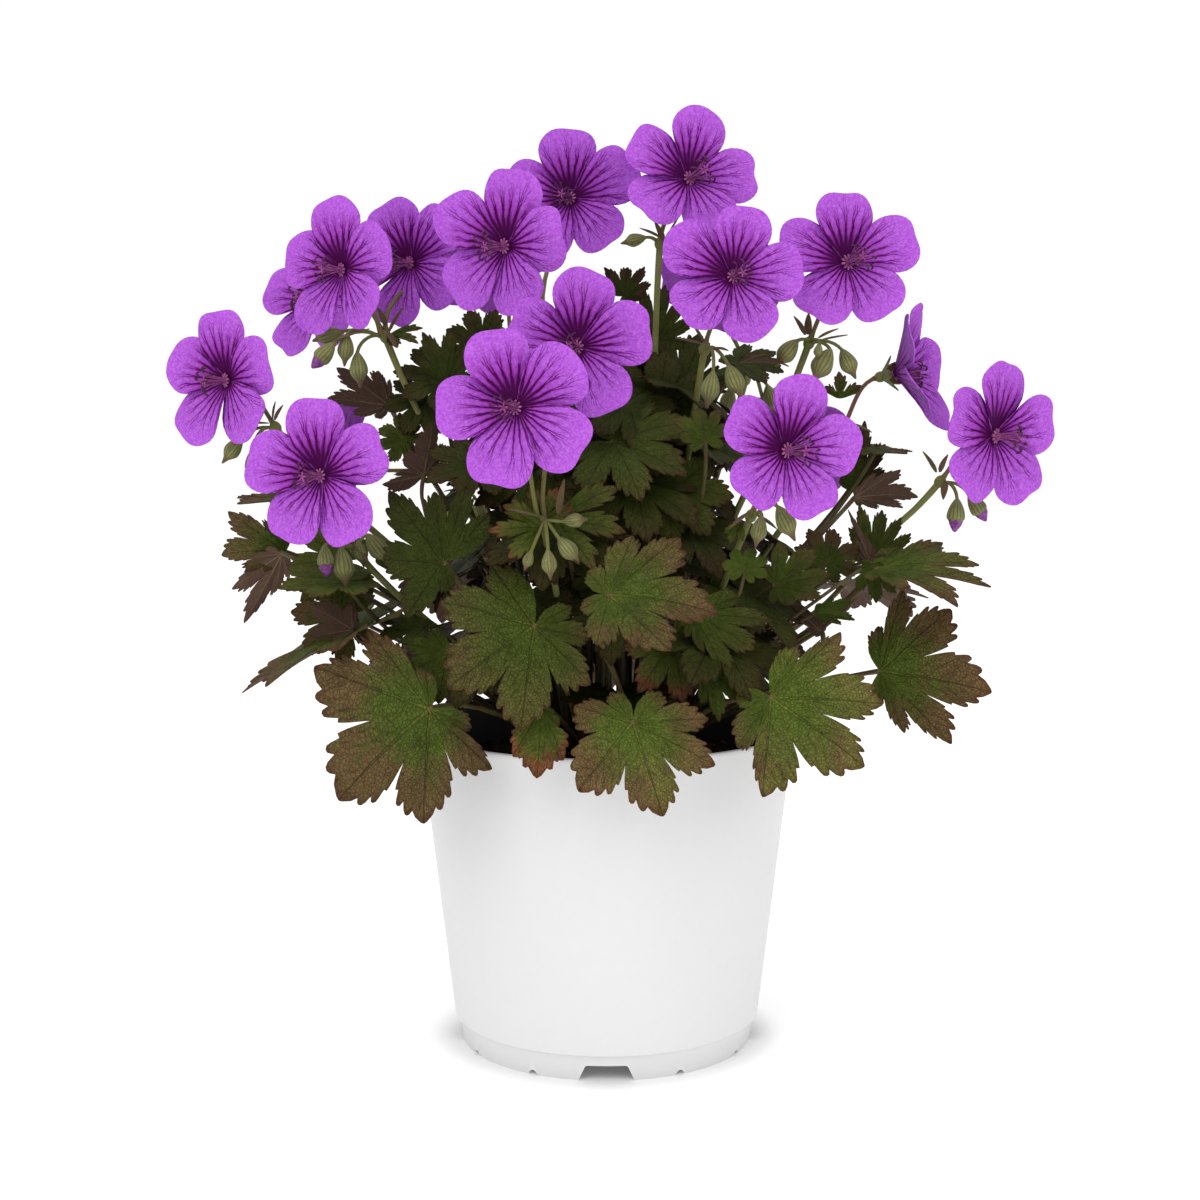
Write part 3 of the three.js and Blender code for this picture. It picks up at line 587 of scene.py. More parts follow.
class Paint:
    """Short ways to add nodes to the tree of a material, a group or the world, and to join them."""

    def __init__(self, tree):
        self.tree = tree

    def join(self, socket, value):
        if isinstance(value, bpy.types.NodeSocket):
            self.tree.links.new(value, socket)
        elif hasattr(socket.default_value, "__len__"):
            socket.default_value = (*value, 1)[:len(socket.default_value)]
        else:
            socket.default_value = value

    def node(self, kind, inputs=(), **values):
        new = self.tree.nodes.new("ShaderNode" + kind)
        for key, value in values.items():
            setattr(new, key, value)
        for key, value in dict(inputs).items():
            self.join(new.inputs[key], value)
        return new

    def math(self, operation, *values):
        return self.node("Math", dict(enumerate(values)), operation=operation).outputs[0]

    times = partialmethod(math, "MULTIPLY")
    plus = partialmethod(math, "ADD")
    minus = partialmethod(math, "SUBTRACT")
    over = partialmethod(math, "DIVIDE")
    scaled = partialmethod(math, "MULTIPLY_ADD")  # a value, its factor and what is added
    larger = partialmethod(math, "MAXIMUM")
    smaller = partialmethod(math, "MINIMUM")
    absolute = partialmethod(math, "ABSOLUTE")

    def distance(self, ahead, aside):
        return self.math("SQRT", self.plus(self.times(ahead, ahead), self.times(aside, aside)))

    def grey(self, level):
        return self.node("CombineColor", {0: level, 1: level, 2: level}).outputs[0]

    def ramp(self, value, low, high, start=0.0, end=1.0):
        """A smooth step from start to end as the value goes from low to high."""
        inputs = {"Value": value, "From Min": low, "From Max": high, "To Min": start, "To Max": end}
        return self.node("MapRange", inputs, interpolation_type="SMOOTHSTEP").outputs[0]

    def blend(self, amount, first, second, mode="MIX"):
        inputs = {0: amount, 6: first, 7: second}
        return self.node("Mix", inputs, data_type="RGBA", blend_type=mode).outputs[2]

    def layered(self, colour, *layers):
        """A colour with others over it, each as (amount, colour)."""
        for amount, over in layers:
            colour = self.blend(amount, colour, over)
        return colour

    def noise(self, place, scale, detail=3.0, roughness=0.55):
        inputs = {"Vector": place, "Scale": scale, "Detail": detail, "Roughness": roughness}
        return self.node("TexNoise", inputs).outputs[0]

    def stretched(self, place, scale):
        return self.node("Mapping", {"Vector": place, "Scale": scale}).outputs[0]

    def bump(self, height, strength, distance):
        inputs = {"Height": height, "Strength": strength, "Distance": distance * MM}
        return self.node("Bump", inputs).outputs[0]

    def object_place(self):
        return self.node("TexCoord").outputs["Object"]

    def uv(self):
        return self.node("UVMap", uv_map="surface").outputs[0]

    def tone(self):
        """The three parts of the piece's own tone."""
        attribute = self.node("Attribute", attribute_name="tone")
        return self.node("SeparateColor", {0: attribute.outputs["Color"]}).outputs[:3]

    def group(self, tree, inputs):
        new = self.node("Group")
        new.node_tree = tree
        for key, value in inputs.items():
            self.join(new.inputs[key], value)
        return new.outputs

    def finished(self, colour, height, strength, distance, roughness=None):
        """Joins a material's colour, relief and roughness, and gives the material."""
        self.join(self.shader["Base Color"], colour)
        self.join(self.shader["Normal"], self.bump(height, strength, distance))
        if roughness:
            self.join(self.shader["Roughness"], roughness)
        return self.material


def new_finish(name, roughness=0.6, **sockets):
    """The paint of a material whose Principled shader has these plain values."""
    material = bpy.data.materials.new(name)
    material.use_nodes = True
    paint = Paint(material.node_tree)
    paint.material = material
    paint.shader = material.node_tree.nodes["Principled BSDF"].inputs
    for key, value in {"Roughness": roughness, **sockets}.items():
        paint.shader[key.replace("_", " ")].default_value = value
    return paint


def new_group(name, inputs, outputs):
    """An empty group with these sockets: its tree, its paint, and what it is given and puts out."""
    tree = bpy.data.node_groups.new(name, "ShaderNodeTree")
    for key, kind in inputs.items():
        tree.interface.new_socket(key, in_out="INPUT", socket_type="NodeSocket" + kind)
    for key, kind in outputs.items():
        tree.interface.new_socket(key, in_out="OUTPUT", socket_type="NodeSocket" + kind)
    paint = Paint(tree)
    given, put = tree.nodes.new("NodeGroupInput"), tree.nodes.new("NodeGroupOutput")
    return tree, paint, given.outputs, put.inputs


LOBE_TURN = 44  # degrees from one lobe's midrib to the next
LOBE_SIDES = 3  # lobes on each side of the middle one
UV_SCALE = 0.4  # a blade of unit length in its UV map
SIDE_VEIN_STEP = 0.135  # from one side vein to the next, for such a blade
PETAL_VEINS = 7.0  # side by side across a petal
SEPAL_RIBS = 15.0


@cache
def vein_group():
    """Masks of a cut leaf's main and side veins and net, and the distance from the petiole."""
    tree, paint, given, put = new_group("Leaf veins", {"Surface": "Vector"}, {
        "Main": "Float", "Side": "Float", "Reach": "Float", "Net": "Float"})
    back = 0.5 / UV_SCALE
    blade = paint.node("Mapping", {"Vector": given["Surface"], "Scale": (1 / UV_SCALE,) * 3,
                                   "Location": (-back, -back, 0)}).outputs[0]
    wobble = paint.noise(blade, 6.0, 2.0)
    ahead, aside, _ = paint.node("SeparateXYZ", {0: blade}).outputs
    reach = paint.distance(ahead, aside)
    turn = paint.math("ARCTAN2", aside, ahead)
    step = math.radians(LOBE_TURN)
    lobe = paint.smaller(paint.larger(paint.math("ROUND", paint.over(turn, step)), -LOBE_SIDES), LOBE_SIDES)
    off = paint.minus(turn, paint.times(lobe, step))
    along = paint.times(reach, paint.math("COSINE", off))
    across = paint.plus(paint.times(reach, paint.math("SINE", off)), paint.scaled(wobble, 0.03, -0.015))
    across = paint.absolute(across)
    width = paint.ramp(along, 0.0, 1.0, 0.012, 0.004)
    slant = paint.plus(paint.minus(along, paint.times(across, 1.5)), paint.scaled(wobble, 0.22, -0.11))
    line = paint.math("PINGPONG", paint.plus(slant, SIDE_VEIN_STEP / 2), SIDE_VEIN_STEP / 2)
    side = paint.ramp(paint.minus(SIDE_VEIN_STEP / 2, line), 0.004, 0.013, 1.0, 0.0)
    side = paint.times(side, paint.ramp(along, 0.12, 0.25))
    side = paint.times(side, paint.ramp(paint.noise(blade, 9.0, 3.0), 0.3, 0.7, 0.15, 1.0))
    cells = paint.node("TexVoronoi", {"Vector": blade, "Scale": 34.0}, feature="DISTANCE_TO_EDGE")
    paint.join(put["Main"], paint.ramp(paint.over(across, width), 0.5, 1.5, 1.0, 0.0))
    paint.join(put["Side"], side)
    paint.join(put["Reach"], reach)
    paint.join(put["Net"], paint.ramp(cells.outputs["Distance"], 0.0, 0.12, 1.0, 0.0))
    return tree


@cache
def mottle_group():
    """Broad and fine unevenness of a natural surface, centred on one."""
    tree, paint, given, put = new_group("Mottle", {
        "Place": "Vector", "Broad": "Float", "Fine": "Float", "Amount": "Float"}, {"Level": "Float"})
    broad = paint.noise(given["Place"], given["Broad"], 2.0)
    fine = paint.noise(given["Place"], given["Fine"], 3.0)
    both = paint.plus(paint.minus(broad, 0.5), paint.minus(fine, 0.5))
    paint.join(put["Level"], paint.scaled(both, given["Amount"], 1.0))
    return tree


def mottle(paint, place, broad, fine, amount):
    return paint.group(mottle_group(), {"Place": place, "Broad": broad, "Fine": fine, "Amount": amount})[0]


def darkened(paint, colour, level):
    """The colour times a level that changes over the surface."""
    return paint.blend(1.0, colour, paint.grey(level), "MULTIPLY")


@cache
def leaf_upper():
    """Green in the middle, bronze or olive outwards, red at the tips, with a darker margin."""
    chosen = settings().leaf
    paint = new_finish("leaf upper side", 0.55, Specular_IOR_Level=0.08)
    place = paint.object_place()
    veins = paint.group(vein_group(), {"Surface": paint.uv()})
    reach = veins["Reach"]
    bronze_share, light, red = paint.tone()
    rim = paint.node("Attribute", attribute_name="rim").outputs["Fac"]
    patch = paint.scaled(paint.noise(place, 140.0, 4.0), 0.7, -0.35)
    edge = paint.ramp(paint.plus(reach, patch), 0.25, 0.95)
    edge = paint.smaller(paint.times(edge, paint.times(bronze_share, 1.5)), 1.0)
    speckle = paint.ramp(paint.noise(place, 1500.0, 3.0, 0.7), 0.42, 0.62, 0.0, 0.5)
    edge = paint.minus(edge, paint.times(speckle, edge))
    fresh = paint.scaled(bronze_share, -0.4, 0.32)
    kind = paint.ramp(paint.plus(paint.noise(place, 45.0, 2.0), fresh), 0.42, 0.6)
    tips = paint.scaled(red, 0.12, paint.times(patch, 0.4))
    tips = paint.ramp(paint.plus(reach, tips), 0.84, 1.07)
    faint_side = paint.times(veins["Side"], 0.7)
    lines = paint.larger(veins["Main"], faint_side)
    colour = paint.layered(
        chosen.green,
        (edge, paint.blend(kind, chosen.bronze, chosen.olive)),
        (paint.smaller(paint.times(tips, red), 1.0), (0.20, 0.078, 0.032)),
        (paint.times(veins["Main"], paint.ramp(reach, 0.05, 0.5, 0.5, 0.0)), (0.17, 0.19, 0.035)),
        # Painted shade in the creases: dark along the sunken veins, more so outwards, and along the sunken
        # net.
        (paint.times(lines, paint.ramp(reach, 0.1, 0.6, 0.05, 0.4)), (0.045, 0.032, 0.016)),
        (paint.times(veins["Net"], 0.27), (0.028, 0.027, 0.010)),
        (paint.ramp(paint.plus(rim, paint.times(patch, 0.04)), 0.93, 1.0, 0.0, 0.62), (0.085, 0.028, 0.016)),
        (paint.ramp(reach, 0.008, 0.025, 1.0, 0.0), (0.24, 0.12, 0.05)),
    )
    level = mottle(paint, place, 150.0, 750.0, 0.85)
    height = paint.times(paint.plus(veins["Main"], faint_side), -1.0)
    height = paint.plus(height, paint.times(veins["Net"], -0.35))
    height = paint.plus(height, paint.times(paint.noise(place, 1600.0, 2.0), 0.35))
    # light, the tone's second part, darkens the whole blade as painted shade for where it sits in the plant.
    colour = darkened(paint, colour, paint.times(level, light))
    return paint.finished(colour, height, 1.0, 0.7, paint.ramp(level, 0.6, 1.4, 0.62, 0.45))


@cache
def leaf_lower():
    """Dull maroon with paler veins."""
    paint = new_finish("leaf lower side", 0.75, Specular_IOR_Level=0.1)
    veins = paint.group(vein_group(), {"Surface": paint.uv()})
    light = paint.tone()[1]
    lines = paint.larger(veins["Main"], paint.times(veins["Side"], 0.7))
    colour = paint.layered(
        settings().leaf.underside,
        (paint.times(lines, 0.6), (0.20, 0.15, 0.085)),
        (paint.times(veins["Net"], 0.25), (0.13, 0.10, 0.06)),
    )
    level = mottle(paint, paint.object_place(), 110.0, 1000.0, 0.45)
    height = paint.plus(lines, paint.times(veins["Net"], 0.3))
    # light, the tone's second part, darkens the whole lower side as painted shade for where the leaf sits.
    return paint.finished(darkened(paint, colour, paint.times(level, light)), height, 0.5, 0.5)


def stem_finish(name, colour, red, amount):
    """A finely ribbed and hairy stalk, redder where its tone says so, and darker by the painted shade in the
    tone's second part.
    """
    paint = new_finish(name, 0.5, Specular_IOR_Level=0.2)
    place = paint.object_place()
    redness, light, _ = paint.tone()
    blotch = paint.ramp(paint.noise(place, 160.0, 3.0), 0.35, 0.75)
    mixed = paint.smaller(paint.scaled(blotch, amount, redness), 1.0)
    level = mottle(paint, place, 220.0, 1400.0, 0.5)
    ribs = paint.noise(paint.stretched(place, (2200, 2200, 120)), 1.0, 2.0)
    colour = darkened(paint, paint.blend(mixed, colour, red), paint.times(level, light))
    return paint.finished(colour, ribs, 0.5, 0.25)


@cache
def stem_green():
    chosen = settings().stem
    return stem_finish("flowering stem", chosen.green, chosen.red, 0.25)


@cache
def petiole_brown():
    return stem_finish("leaf stalk", (0.115, 0.105, 0.035), (0.11, 0.048, 0.035), 0.8)


@cache
def petal_vein_group():
    """A petal's forking veins, how near its throat a place is, and its fine streaks."""
    tree, paint, given, put = new_group("Petal veins", {
        "Surface": "Vector", "Place": "Vector", "Own": "Float"}, {
        "Line": "Float", "Along": "Float", "Flare": "Float", "Streak": "Float"})
    surface, place = given["Surface"], given["Place"]
    across, along, _ = paint.node("SeparateXYZ", {0: surface}).outputs
    wander = paint.scaled(paint.noise(place, 230.0, 2.0), 0.08, -0.04)
    lane = paint.times(paint.plus(paint.minus(across, 0.5), wander), PETAL_VEINS)
    number = paint.math("FLOOR", paint.plus(lane, 0.5))
    seed = paint.scaled(given["Own"], 37.0, number)
    luck, other = [
        paint.node("TexWhiteNoise", {"W": paint.plus(seed, shift)}, noise_dimensions="1D").outputs["Value"]
        for shift in (0.0, 0.5)
    ]
    beside = paint.absolute(paint.minus(lane, number))
    start = paint.scaled(luck, 0.22, 0.26)
    fork = paint.times(paint.larger(paint.minus(along, start), 0.0), 0.55)
    twig = paint.times(paint.larger(paint.minus(along, paint.plus(start, 0.2)), 0.0), 0.6)
    distance = paint.absolute(paint.minus(paint.absolute(paint.minus(beside, fork)), twig))
    thick = paint.ramp(along, 0.2, 0.85, 0.055, 0.016)
    thick = paint.times(thick, paint.ramp(paint.noise(place, 500.0, 2.0), 0.3, 0.7, 0.6, 1.3))
    width = paint.over(thick, paint.larger(along, 0.08))
    line = paint.ramp(paint.over(distance, width), 0.5, 1.5, 1.0, 0.0)
    ragged = paint.scaled(paint.noise(place, 420.0, 3.0), 0.3, -0.15)
    fading = paint.plus(paint.scaled(other, 0.38, along), ragged)
    paint.join(put["Line"], paint.times(line, paint.ramp(fading, 0.72, 1.12, 1.0, 0.0)))
    paint.join(put["Along"], along)
    paint.join(put["Flare"], paint.plus(paint.times(beside, 0.34), paint.times(ragged, 0.5)))
    paint.join(put["Streak"], paint.noise(paint.stretched(surface, (30, 6, 1)), 1.0, 4.0, 0.7))
    return tree


@cache
def petal_face():
    """Violet, paler to the rim, with forking dark veins that run out of a maroon throat."""
    chosen = settings().flower
    paint = new_finish("petal", 0.6, Specular_IOR_Level=0.03)
    place = paint.object_place()
    below, own, _ = paint.tone()
    veins = paint.group(petal_vein_group(), {"Surface": paint.uv(), "Place": place, "Own": own})
    line, along, streak = veins["Line"], veins["Along"], veins["Streak"]
    grain = paint.node("TexVoronoi", {"Vector": place, "Scale": 1500.0}).outputs["Distance"]
    soft = paint.noise(place, 900.0, 3.0, 0.7)
    # Painted shade inside the cupped flower: the throat reaches less far as the tone's first part grows.
    near = paint.plus(paint.plus(along, veins["Flare"]), paint.times(below, 0.32))
    near = paint.minus(near, paint.times(line, 0.14))
    colour = paint.layered(
        [0.8 * part for part in chosen.violet],
        (paint.ramp(along, 0.45, 1.0), chosen.violet),
        (paint.ramp(streak, 0.35, 0.75, 0.0, 0.3), (0.60, 0.19, 0.80)),
        (paint.ramp(grain, 0.1, 0.75, 0.0, 0.5), (0.27, 0.04, 0.43)),
        (paint.ramp(soft, 0.4, 0.7, 0.0, 0.35), (0.66, 0.24, 0.86)),
        (paint.ramp(near, 0.38, 0.98, 0.85, 0.0), (0.25, 0.014, 0.31)),
        (paint.times(line, 0.84), chosen.vein),
        (paint.ramp(near, 0.34, 0.63, 1.0, 0.0), chosen.throat),
    )
    height = paint.plus(paint.times(line, -1.0), paint.times(grain, -0.6))
    return paint.finished(colour, paint.plus(height, paint.times(streak, 0.8)), 0.4, 0.3)


@cache
def petal_back():
    """The same veins on a duller violet, with a maroon foot."""
    paint = new_finish("petal back", 0.6, Specular_IOR_Level=0.05)
    place, own = paint.object_place(), paint.tone()[1]
    veins = paint.group(petal_vein_group(), {"Surface": paint.uv(), "Place": place, "Own": own})
    streak = veins["Streak"]
    near = paint.plus(veins["Along"], veins["Flare"])
    colour = paint.layered(
        (0.33, 0.075, 0.50),
        (paint.ramp(streak, 0.3, 0.8), (0.44, 0.14, 0.62)),
        (paint.ramp(near, 0.2, 0.7, 0.75, 0.0), (0.17, 0.012, 0.16)),
        (paint.times(veins["Line"], 0.85), (0.085, 0.006, 0.085)),
        (paint.ramp(near, 0.1, 0.35, 0.9, 0.0), (0.11, 0.012, 0.07)),
    )
    return paint.finished(colour, streak, 0.3, 0.3)


# name: (colour, second colour, scale of their patches, roughness)
PLAIN_FINISHES = {
    "filament": ((0.36, 0.10, 0.30), (0.22, 0.03, 0.17), 600.0, 0.6),
    "stigma": ((0.40, 0.12, 0.29), (0.24, 0.045, 0.18), 700.0, 0.6),
    "anther": ((0.05, 0.010, 0.045), (0.11, 0.03, 0.085), 900.0, 0.8),
    "bud petals": ((0.16, 0.03, 0.19), (0.30, 0.08, 0.36), 900.0, 0.6),
}


@cache
def plain_finish(name):
    """Two near colours in soft patches over a fine grain."""
    colour, second, scale, roughness = PLAIN_FINISHES[name]
    paint = new_finish(name, roughness, Specular_IOR_Level=0.3)
    place = paint.object_place()
    patches = paint.ramp(paint.noise(place, scale, 3.0), 0.35, 0.7)
    return paint.finished(paint.blend(patches, colour, second), paint.noise(place, scale * 5, 3.0), 0.3, 0.2)


@cache
def sepal_green():
    """Ribbed and hairy olive green; the tone's first part turns it brown."""
    paint = new_finish("sepal", 0.6, Specular_IOR_Level=0.15, Sheen_Weight=0.12, Sheen_Roughness=0.35)
    across = paint.node("SeparateXYZ", {0: paint.uv()}).outputs[0]
    place = paint.object_place()
    rib = paint.absolute(paint.minus(paint.math("FRACT", paint.times(across, SEPAL_RIBS)), 0.5))
    rib = paint.ramp(rib, 0.05, 0.3, 1.0, 0.0)
    colour = paint.layered(
        (0.225, 0.235, 0.085),
        (paint.tone()[0], (0.14, 0.065, 0.042)),
        (paint.times(rib, 0.6), (0.085, 0.07, 0.03)),
    )
    colour = darkened(paint, colour, mottle(paint, place, 300.0, 1800.0, 0.7))
    return paint.finished(colour, paint.plus(rib, paint.noise(place, 2400.0, 2.0)), 0.5, 0.2)


@cache
def pot_outside():
    """Satin white plastic with faint level flow marks."""
    paint = new_finish("pot outside", 0.42, Specular_IOR_Level=0.35)
    place = paint.object_place()
    colour = darkened(paint, settings().pot.outside, mottle(paint, place, 18.0, 260.0, 0.03))
    flow = paint.noise(paint.stretched(place, (60, 60, 400)), 1.0, 3.0)
    grain = paint.plus(paint.noise(place, 900.0, 2.0), paint.times(flow, 0.5))
    return paint.finished(colour, grain, 0.12, 0.1, paint.ramp(flow, 0.3, 0.7, 0.38, 0.48))


@cache
def pot_inside():
    """Black plastic with a little dust of the mix."""
    paint = new_finish("pot inside", 0.5, Specular_IOR_Level=0.4)
    place = paint.object_place()
    dust = paint.ramp(paint.noise(place, 120.0, 5.0, 0.7), 0.5, 0.8, 0.0, 0.5)
    colour = paint.blend(dust, settings().pot.inside, (0.05, 0.04, 0.032))
    return paint.finished(colour, paint.noise(place, 700.0, 3.0), 0.2, 0.2)


@cache
def mix_dark():
    """Potting mix: crumbs from near black to fibre brown, by the tone of each crumb."""
    paint = new_finish("potting mix", 0.92, Specular_IOR_Level=0.2)
    grain = paint.noise(paint.object_place(), 420.0, 5.0, 0.7)
    colour = paint.blend(paint.ramp(grain, 0.35, 0.75), (0.010, 0.007, 0.005), (0.045, 0.030, 0.018))
    return paint.finished(paint.blend(paint.tone()[0], colour, (0.12, 0.085, 0.055)), grain, 0.9, 0.8)


@cache
def bark_brown():
    paint = new_finish("crown bark", 0.85, Specular_IOR_Level=0.2)
    fibres = paint.noise(paint.stretched(paint.object_place(), (500, 500, 90)), 1.0, 5.0, 0.65)
    colour = paint.blend(paint.ramp(fibres, 0.3, 0.75), (0.035, 0.022, 0.013), (0.15, 0.095, 0.05))
    return paint.finished(colour, fibres, 0.9, 0.8)


# ------------------------------------------------------------------ stems

def crown_place(azimuth, tilt):
    """A place on the crown's dome just clear of it, in millimetres, and the way out of it there."""
    radii = Vector((CROWN_RADIUS, CROWN_RADIUS, CROWN_HEIGHT))
    way = Vector((math.cos(tilt) * math.cos(azimuth), math.cos(tilt) * math.sin(azimuth), math.sin(tilt)))
    out = Vector([part / radius for part, radius in zip(way, radii)]).normalized()
    return way * radii + UP * CROWN_FOOT + out * TOUCH_GAP, out


def root_of(target, swing=0):
    azimuth = math.atan2(target[1], target[0]) + math.radians(swing)
    level = (target[2] - ROOT_LEVELS[0]) / (ROOT_LEVELS[1] - ROOT_LEVELS[0])
    tilt = ROOT_TILTS[0] + (ROOT_TILTS[1] - ROOT_TILTS[0]) * level
    return crown_place(azimuth, math.radians(tilt))


def fork_direction(fork):
    along = (Vector(fork) - Vector((0, 0, SOIL_LEVEL))).normalized()
    return (along + UP * UPTURN).normalized()


def stem_handles(start, leaving, end, arriving):
    pull = (end - start).length * STEM_PULL
    return [start, start + leaving * pull, end - arriving * pull, end]


def split(handles, part):
    """The two halves of a cubic curve cut at a part of its length."""
    a, b, c, d = handles
    ab, bc, cd = a.lerp(b, part), b.lerp(c, part), c.lerp(d, part)
    abc, bcd = ab.lerp(bc, part), bc.lerp(cd, part)
    middle = abc.lerp(bcd, part)
    return [a, ab, abc, middle], [middle, bcd, cd, d]


STALK_CUTS = (0.12, 0.88)  # where a stalk's swollen foot ends and its head starts
STALK_TAPER = 0.92  # its width at the head's start


def stems(name, runs, sides=2, steps=7):
    """Stalks along cubic curves in millimetres. Each run is (handles, radius, swell at foot and head)."""
    bpy.ops.curve.primitive_bezier_curve_add()
    stalk = named(name)
    stalk.data.bevel_depth = MM
    stalk.data.bevel_resolution = sides
    stalk.data.resolution_u = steps
    stalk.data.use_fill_caps = True
    stalk.data.splines.clear()
    for handles, radius, foot, head in runs:
        first, rest = split(handles, STALK_CUTS[0])
        pieces = [first, *split(rest, STALK_CUTS[1])]
        swells = [foot, 1.0, STALK_TAPER, head]
        spline = stalk.data.splines.new("BEZIER")
        spline.bezier_points.add(len(pieces))
        for index, point in enumerate(spline.bezier_points):
            point.handle_left_type = point.handle_right_type = "FREE"
            before = pieces[index - 1] if index else None
            after = pieces[index] if index < len(pieces) else None
            point.co = (after[0] if after else before[3]) * MM
            point.handle_left = (before[2] if before else after[0]) * MM
            point.handle_right = (after[1] if after else before[3]) * MM
            point.radius = radius * swells[index]
    select(stalk)
    bpy.ops.object.convert(target="MESH")
    stalk = named(name)
    return shade_smooth(apply_place(stalk))


def redden(stalk, low, high, light=1.0):
    """A tone that turns from green to red between two heights, with the stalk's painted light or shade as its
    second part.
    """
    set_tone(stalk, rows(smooth(low, high, points_of(stalk)[:, 2] / MM), light, 0))


# ------------------------------------------------------------------ leaf blades

# Half a lobe's edge, from the cut beside it to its tip: degrees from its midrib and reach, with how
# far the edge bulges on its way to the next of these.
LOBE_EDGE = [(22, 0.46, 0), (21.5, 0.55, 0.004), (21.0, 0.66, 0.01), (20.2, 0.75, 0), (18.2, 0.745, 0.02),
             (17.2, 0.865, 0.012), (14.6, 0.88, 0), (13.0, 0.835, 0.02), (10.6, 0.95, 0.01), (8.2, 0.95, 0),
             (6.8, 0.915, 0.014), (2.6, 1.01, 0.006), (0, 1.04, 0)]
HEEL = [(24, 0.62), (29, 0.5), (33, 0.32), (36, 0.14), (38, 0.03)]  # turn beyond the last midrib, reach
LOBE_REACH = (1.0, 0.96, 0.85, 0.62)  # of the middle lobe and those beside it

# The same for the small three-lobed leaves at the forks, which are cut almost to the middle.
FORK_LEAF_EDGE = [(22, 0.2, 0), (19, 0.38, 0.01), (18.5, 0.58, 0.01), (17.5, 0.70, 0), (13.5, 0.64, 0.015),
                  (12.8, 0.84, 0.01), (9.8, 0.89, 0), (7.4, 0.82, 0.015), (0, 1.04, 0)]
FORK_LEAF_HEEL = [(28, 0.24), (36, 0.12), (42, 0.03)]


def lobe_half(edge, steps):
    """(turn in degrees from the midrib, reach) from the cut to the tip, as rounded teeth."""
    points = []
    for (turn, reach, bulge), (next_turn, next_reach, _) in zip(edge, edge[1:]):
        for step in range(steps):
            part = step / steps
            out = reach + (next_reach - reach) * part + bulge * 4 * part * (1 - part)
            points.append((turn + (next_turn - turn) * part, out))
    points.append(edge[-1][:2])
    return points


def blade_outline(sides, edge, heel, steps):
    """The outline from one side of the petiole's notch round to the other, as (turn, reach)."""
    half = lobe_half(edge, steps)
    short = 2 * steps  # points left out of the outermost edges, where the heel takes over
    spokes = []
    for lobe in range(-sides, sides + 1):
        middle, share_of_full = lobe * LOBE_TURN, LOBE_REACH[abs(lobe)]
        first = half if lobe > -sides else half[short:]
        second = half[1:-1] if lobe < sides else half[short:-1]
        spokes += [(middle - turn, reach * share_of_full) for turn, reach in first]
        spokes += [(middle + turn, reach * share_of_full) for turn, reach in second]
    end, share_of_full = LOBE_TURN * sides, LOBE_REACH[sides]
    for sign in (-1, 1):
        spokes += [(sign * (end + turn), reach * share_of_full) for turn, reach in heel]
    return sorted(spokes)


def flat_blade(name, rings, steps=2, sides=LOBE_SIDES, edge=LOBE_EDGE, heel=HEEL):
    """A cut leaf's blade of unit length, flat, with its middle lobe along +X."""
    outline = blade_outline(sides, edge, heel, steps)
    columns = len(outline)
    bpy.ops.mesh.primitive_grid_add(x_subdivisions=columns - 1, y_subdivisions=rings, size=1)
    blade = named(name)
    points = points_of(blade)
    spoke = np.rint((points[:, 0] + 0.5) * (columns - 1)).astype(int)
    ring = np.rint((points[:, 1] + 0.5) * rings) / rings
    turns = np.radians([turn for turn, _ in outline])[spoke]
    reach = np.array([reach for _, reach in outline])[spoke] * ring
    set_points(blade, rows(reach * np.cos(turns), reach * np.sin(turns), 0))
    blade.data.attributes.new("rim", "FLOAT", "POINT").data.foreach_set("value", ring)
    with editing(blade):
        bpy.ops.mesh.remove_doubles(threshold=DOUBLES)
    face_up(blade)
    set_uv(blade, 0.5 + UV_SCALE * points_of(blade)[:, :2])
    return blade


BLADE_SHAPE = {
    "vee": 0.06,   # each lobe rises from its midrib to the cuts beside it
    "curl": 0.35,  # the blade bends down along its length
    "sag": 0.08,   # its rim falls all round
    "cup": 0.10,   # its two halves lift
    "gape": 0.06,  # how much narrower its lobes are at their shoulders
    "lobes": (),   # its own lobes, where they are given
}
# How far the lobes of one blade differ: turn in degrees, length, fall and twist of the outer half.
LOBE_CHANCES = ((-4, 4), (-0.07, 0.05), (-0.12, 0.3), (-0.07, 0.07))
GAPE_CHANCE = (-0.04, 0.06)
SHADED_TO_SUNNY = (45, 100)  # distances from the middle over which leaves go from painted shade to full painted light
WAVES = 7  # round the rim of a blade
WAVE_HEIGHT = 0.014
FULL_BLADE = 30  # radius of a blade whose petiole has its full width
PETIOLE_RED = (190, 270)  # heights between which petioles turn red
FORK_LEAF_SHAPE = {"tone": (0.35, 1.05, 0.6), "vee": 0.12, "gape": 0}

# Where the random numbers of each kind of leaf start; the n-th leaf of a table adds n.
LEAF_SEED = 100
SMALL_LEAF_SEED = 200
FORK_LEAF_SEED = 400
INNER_LEAF_SEED = 31


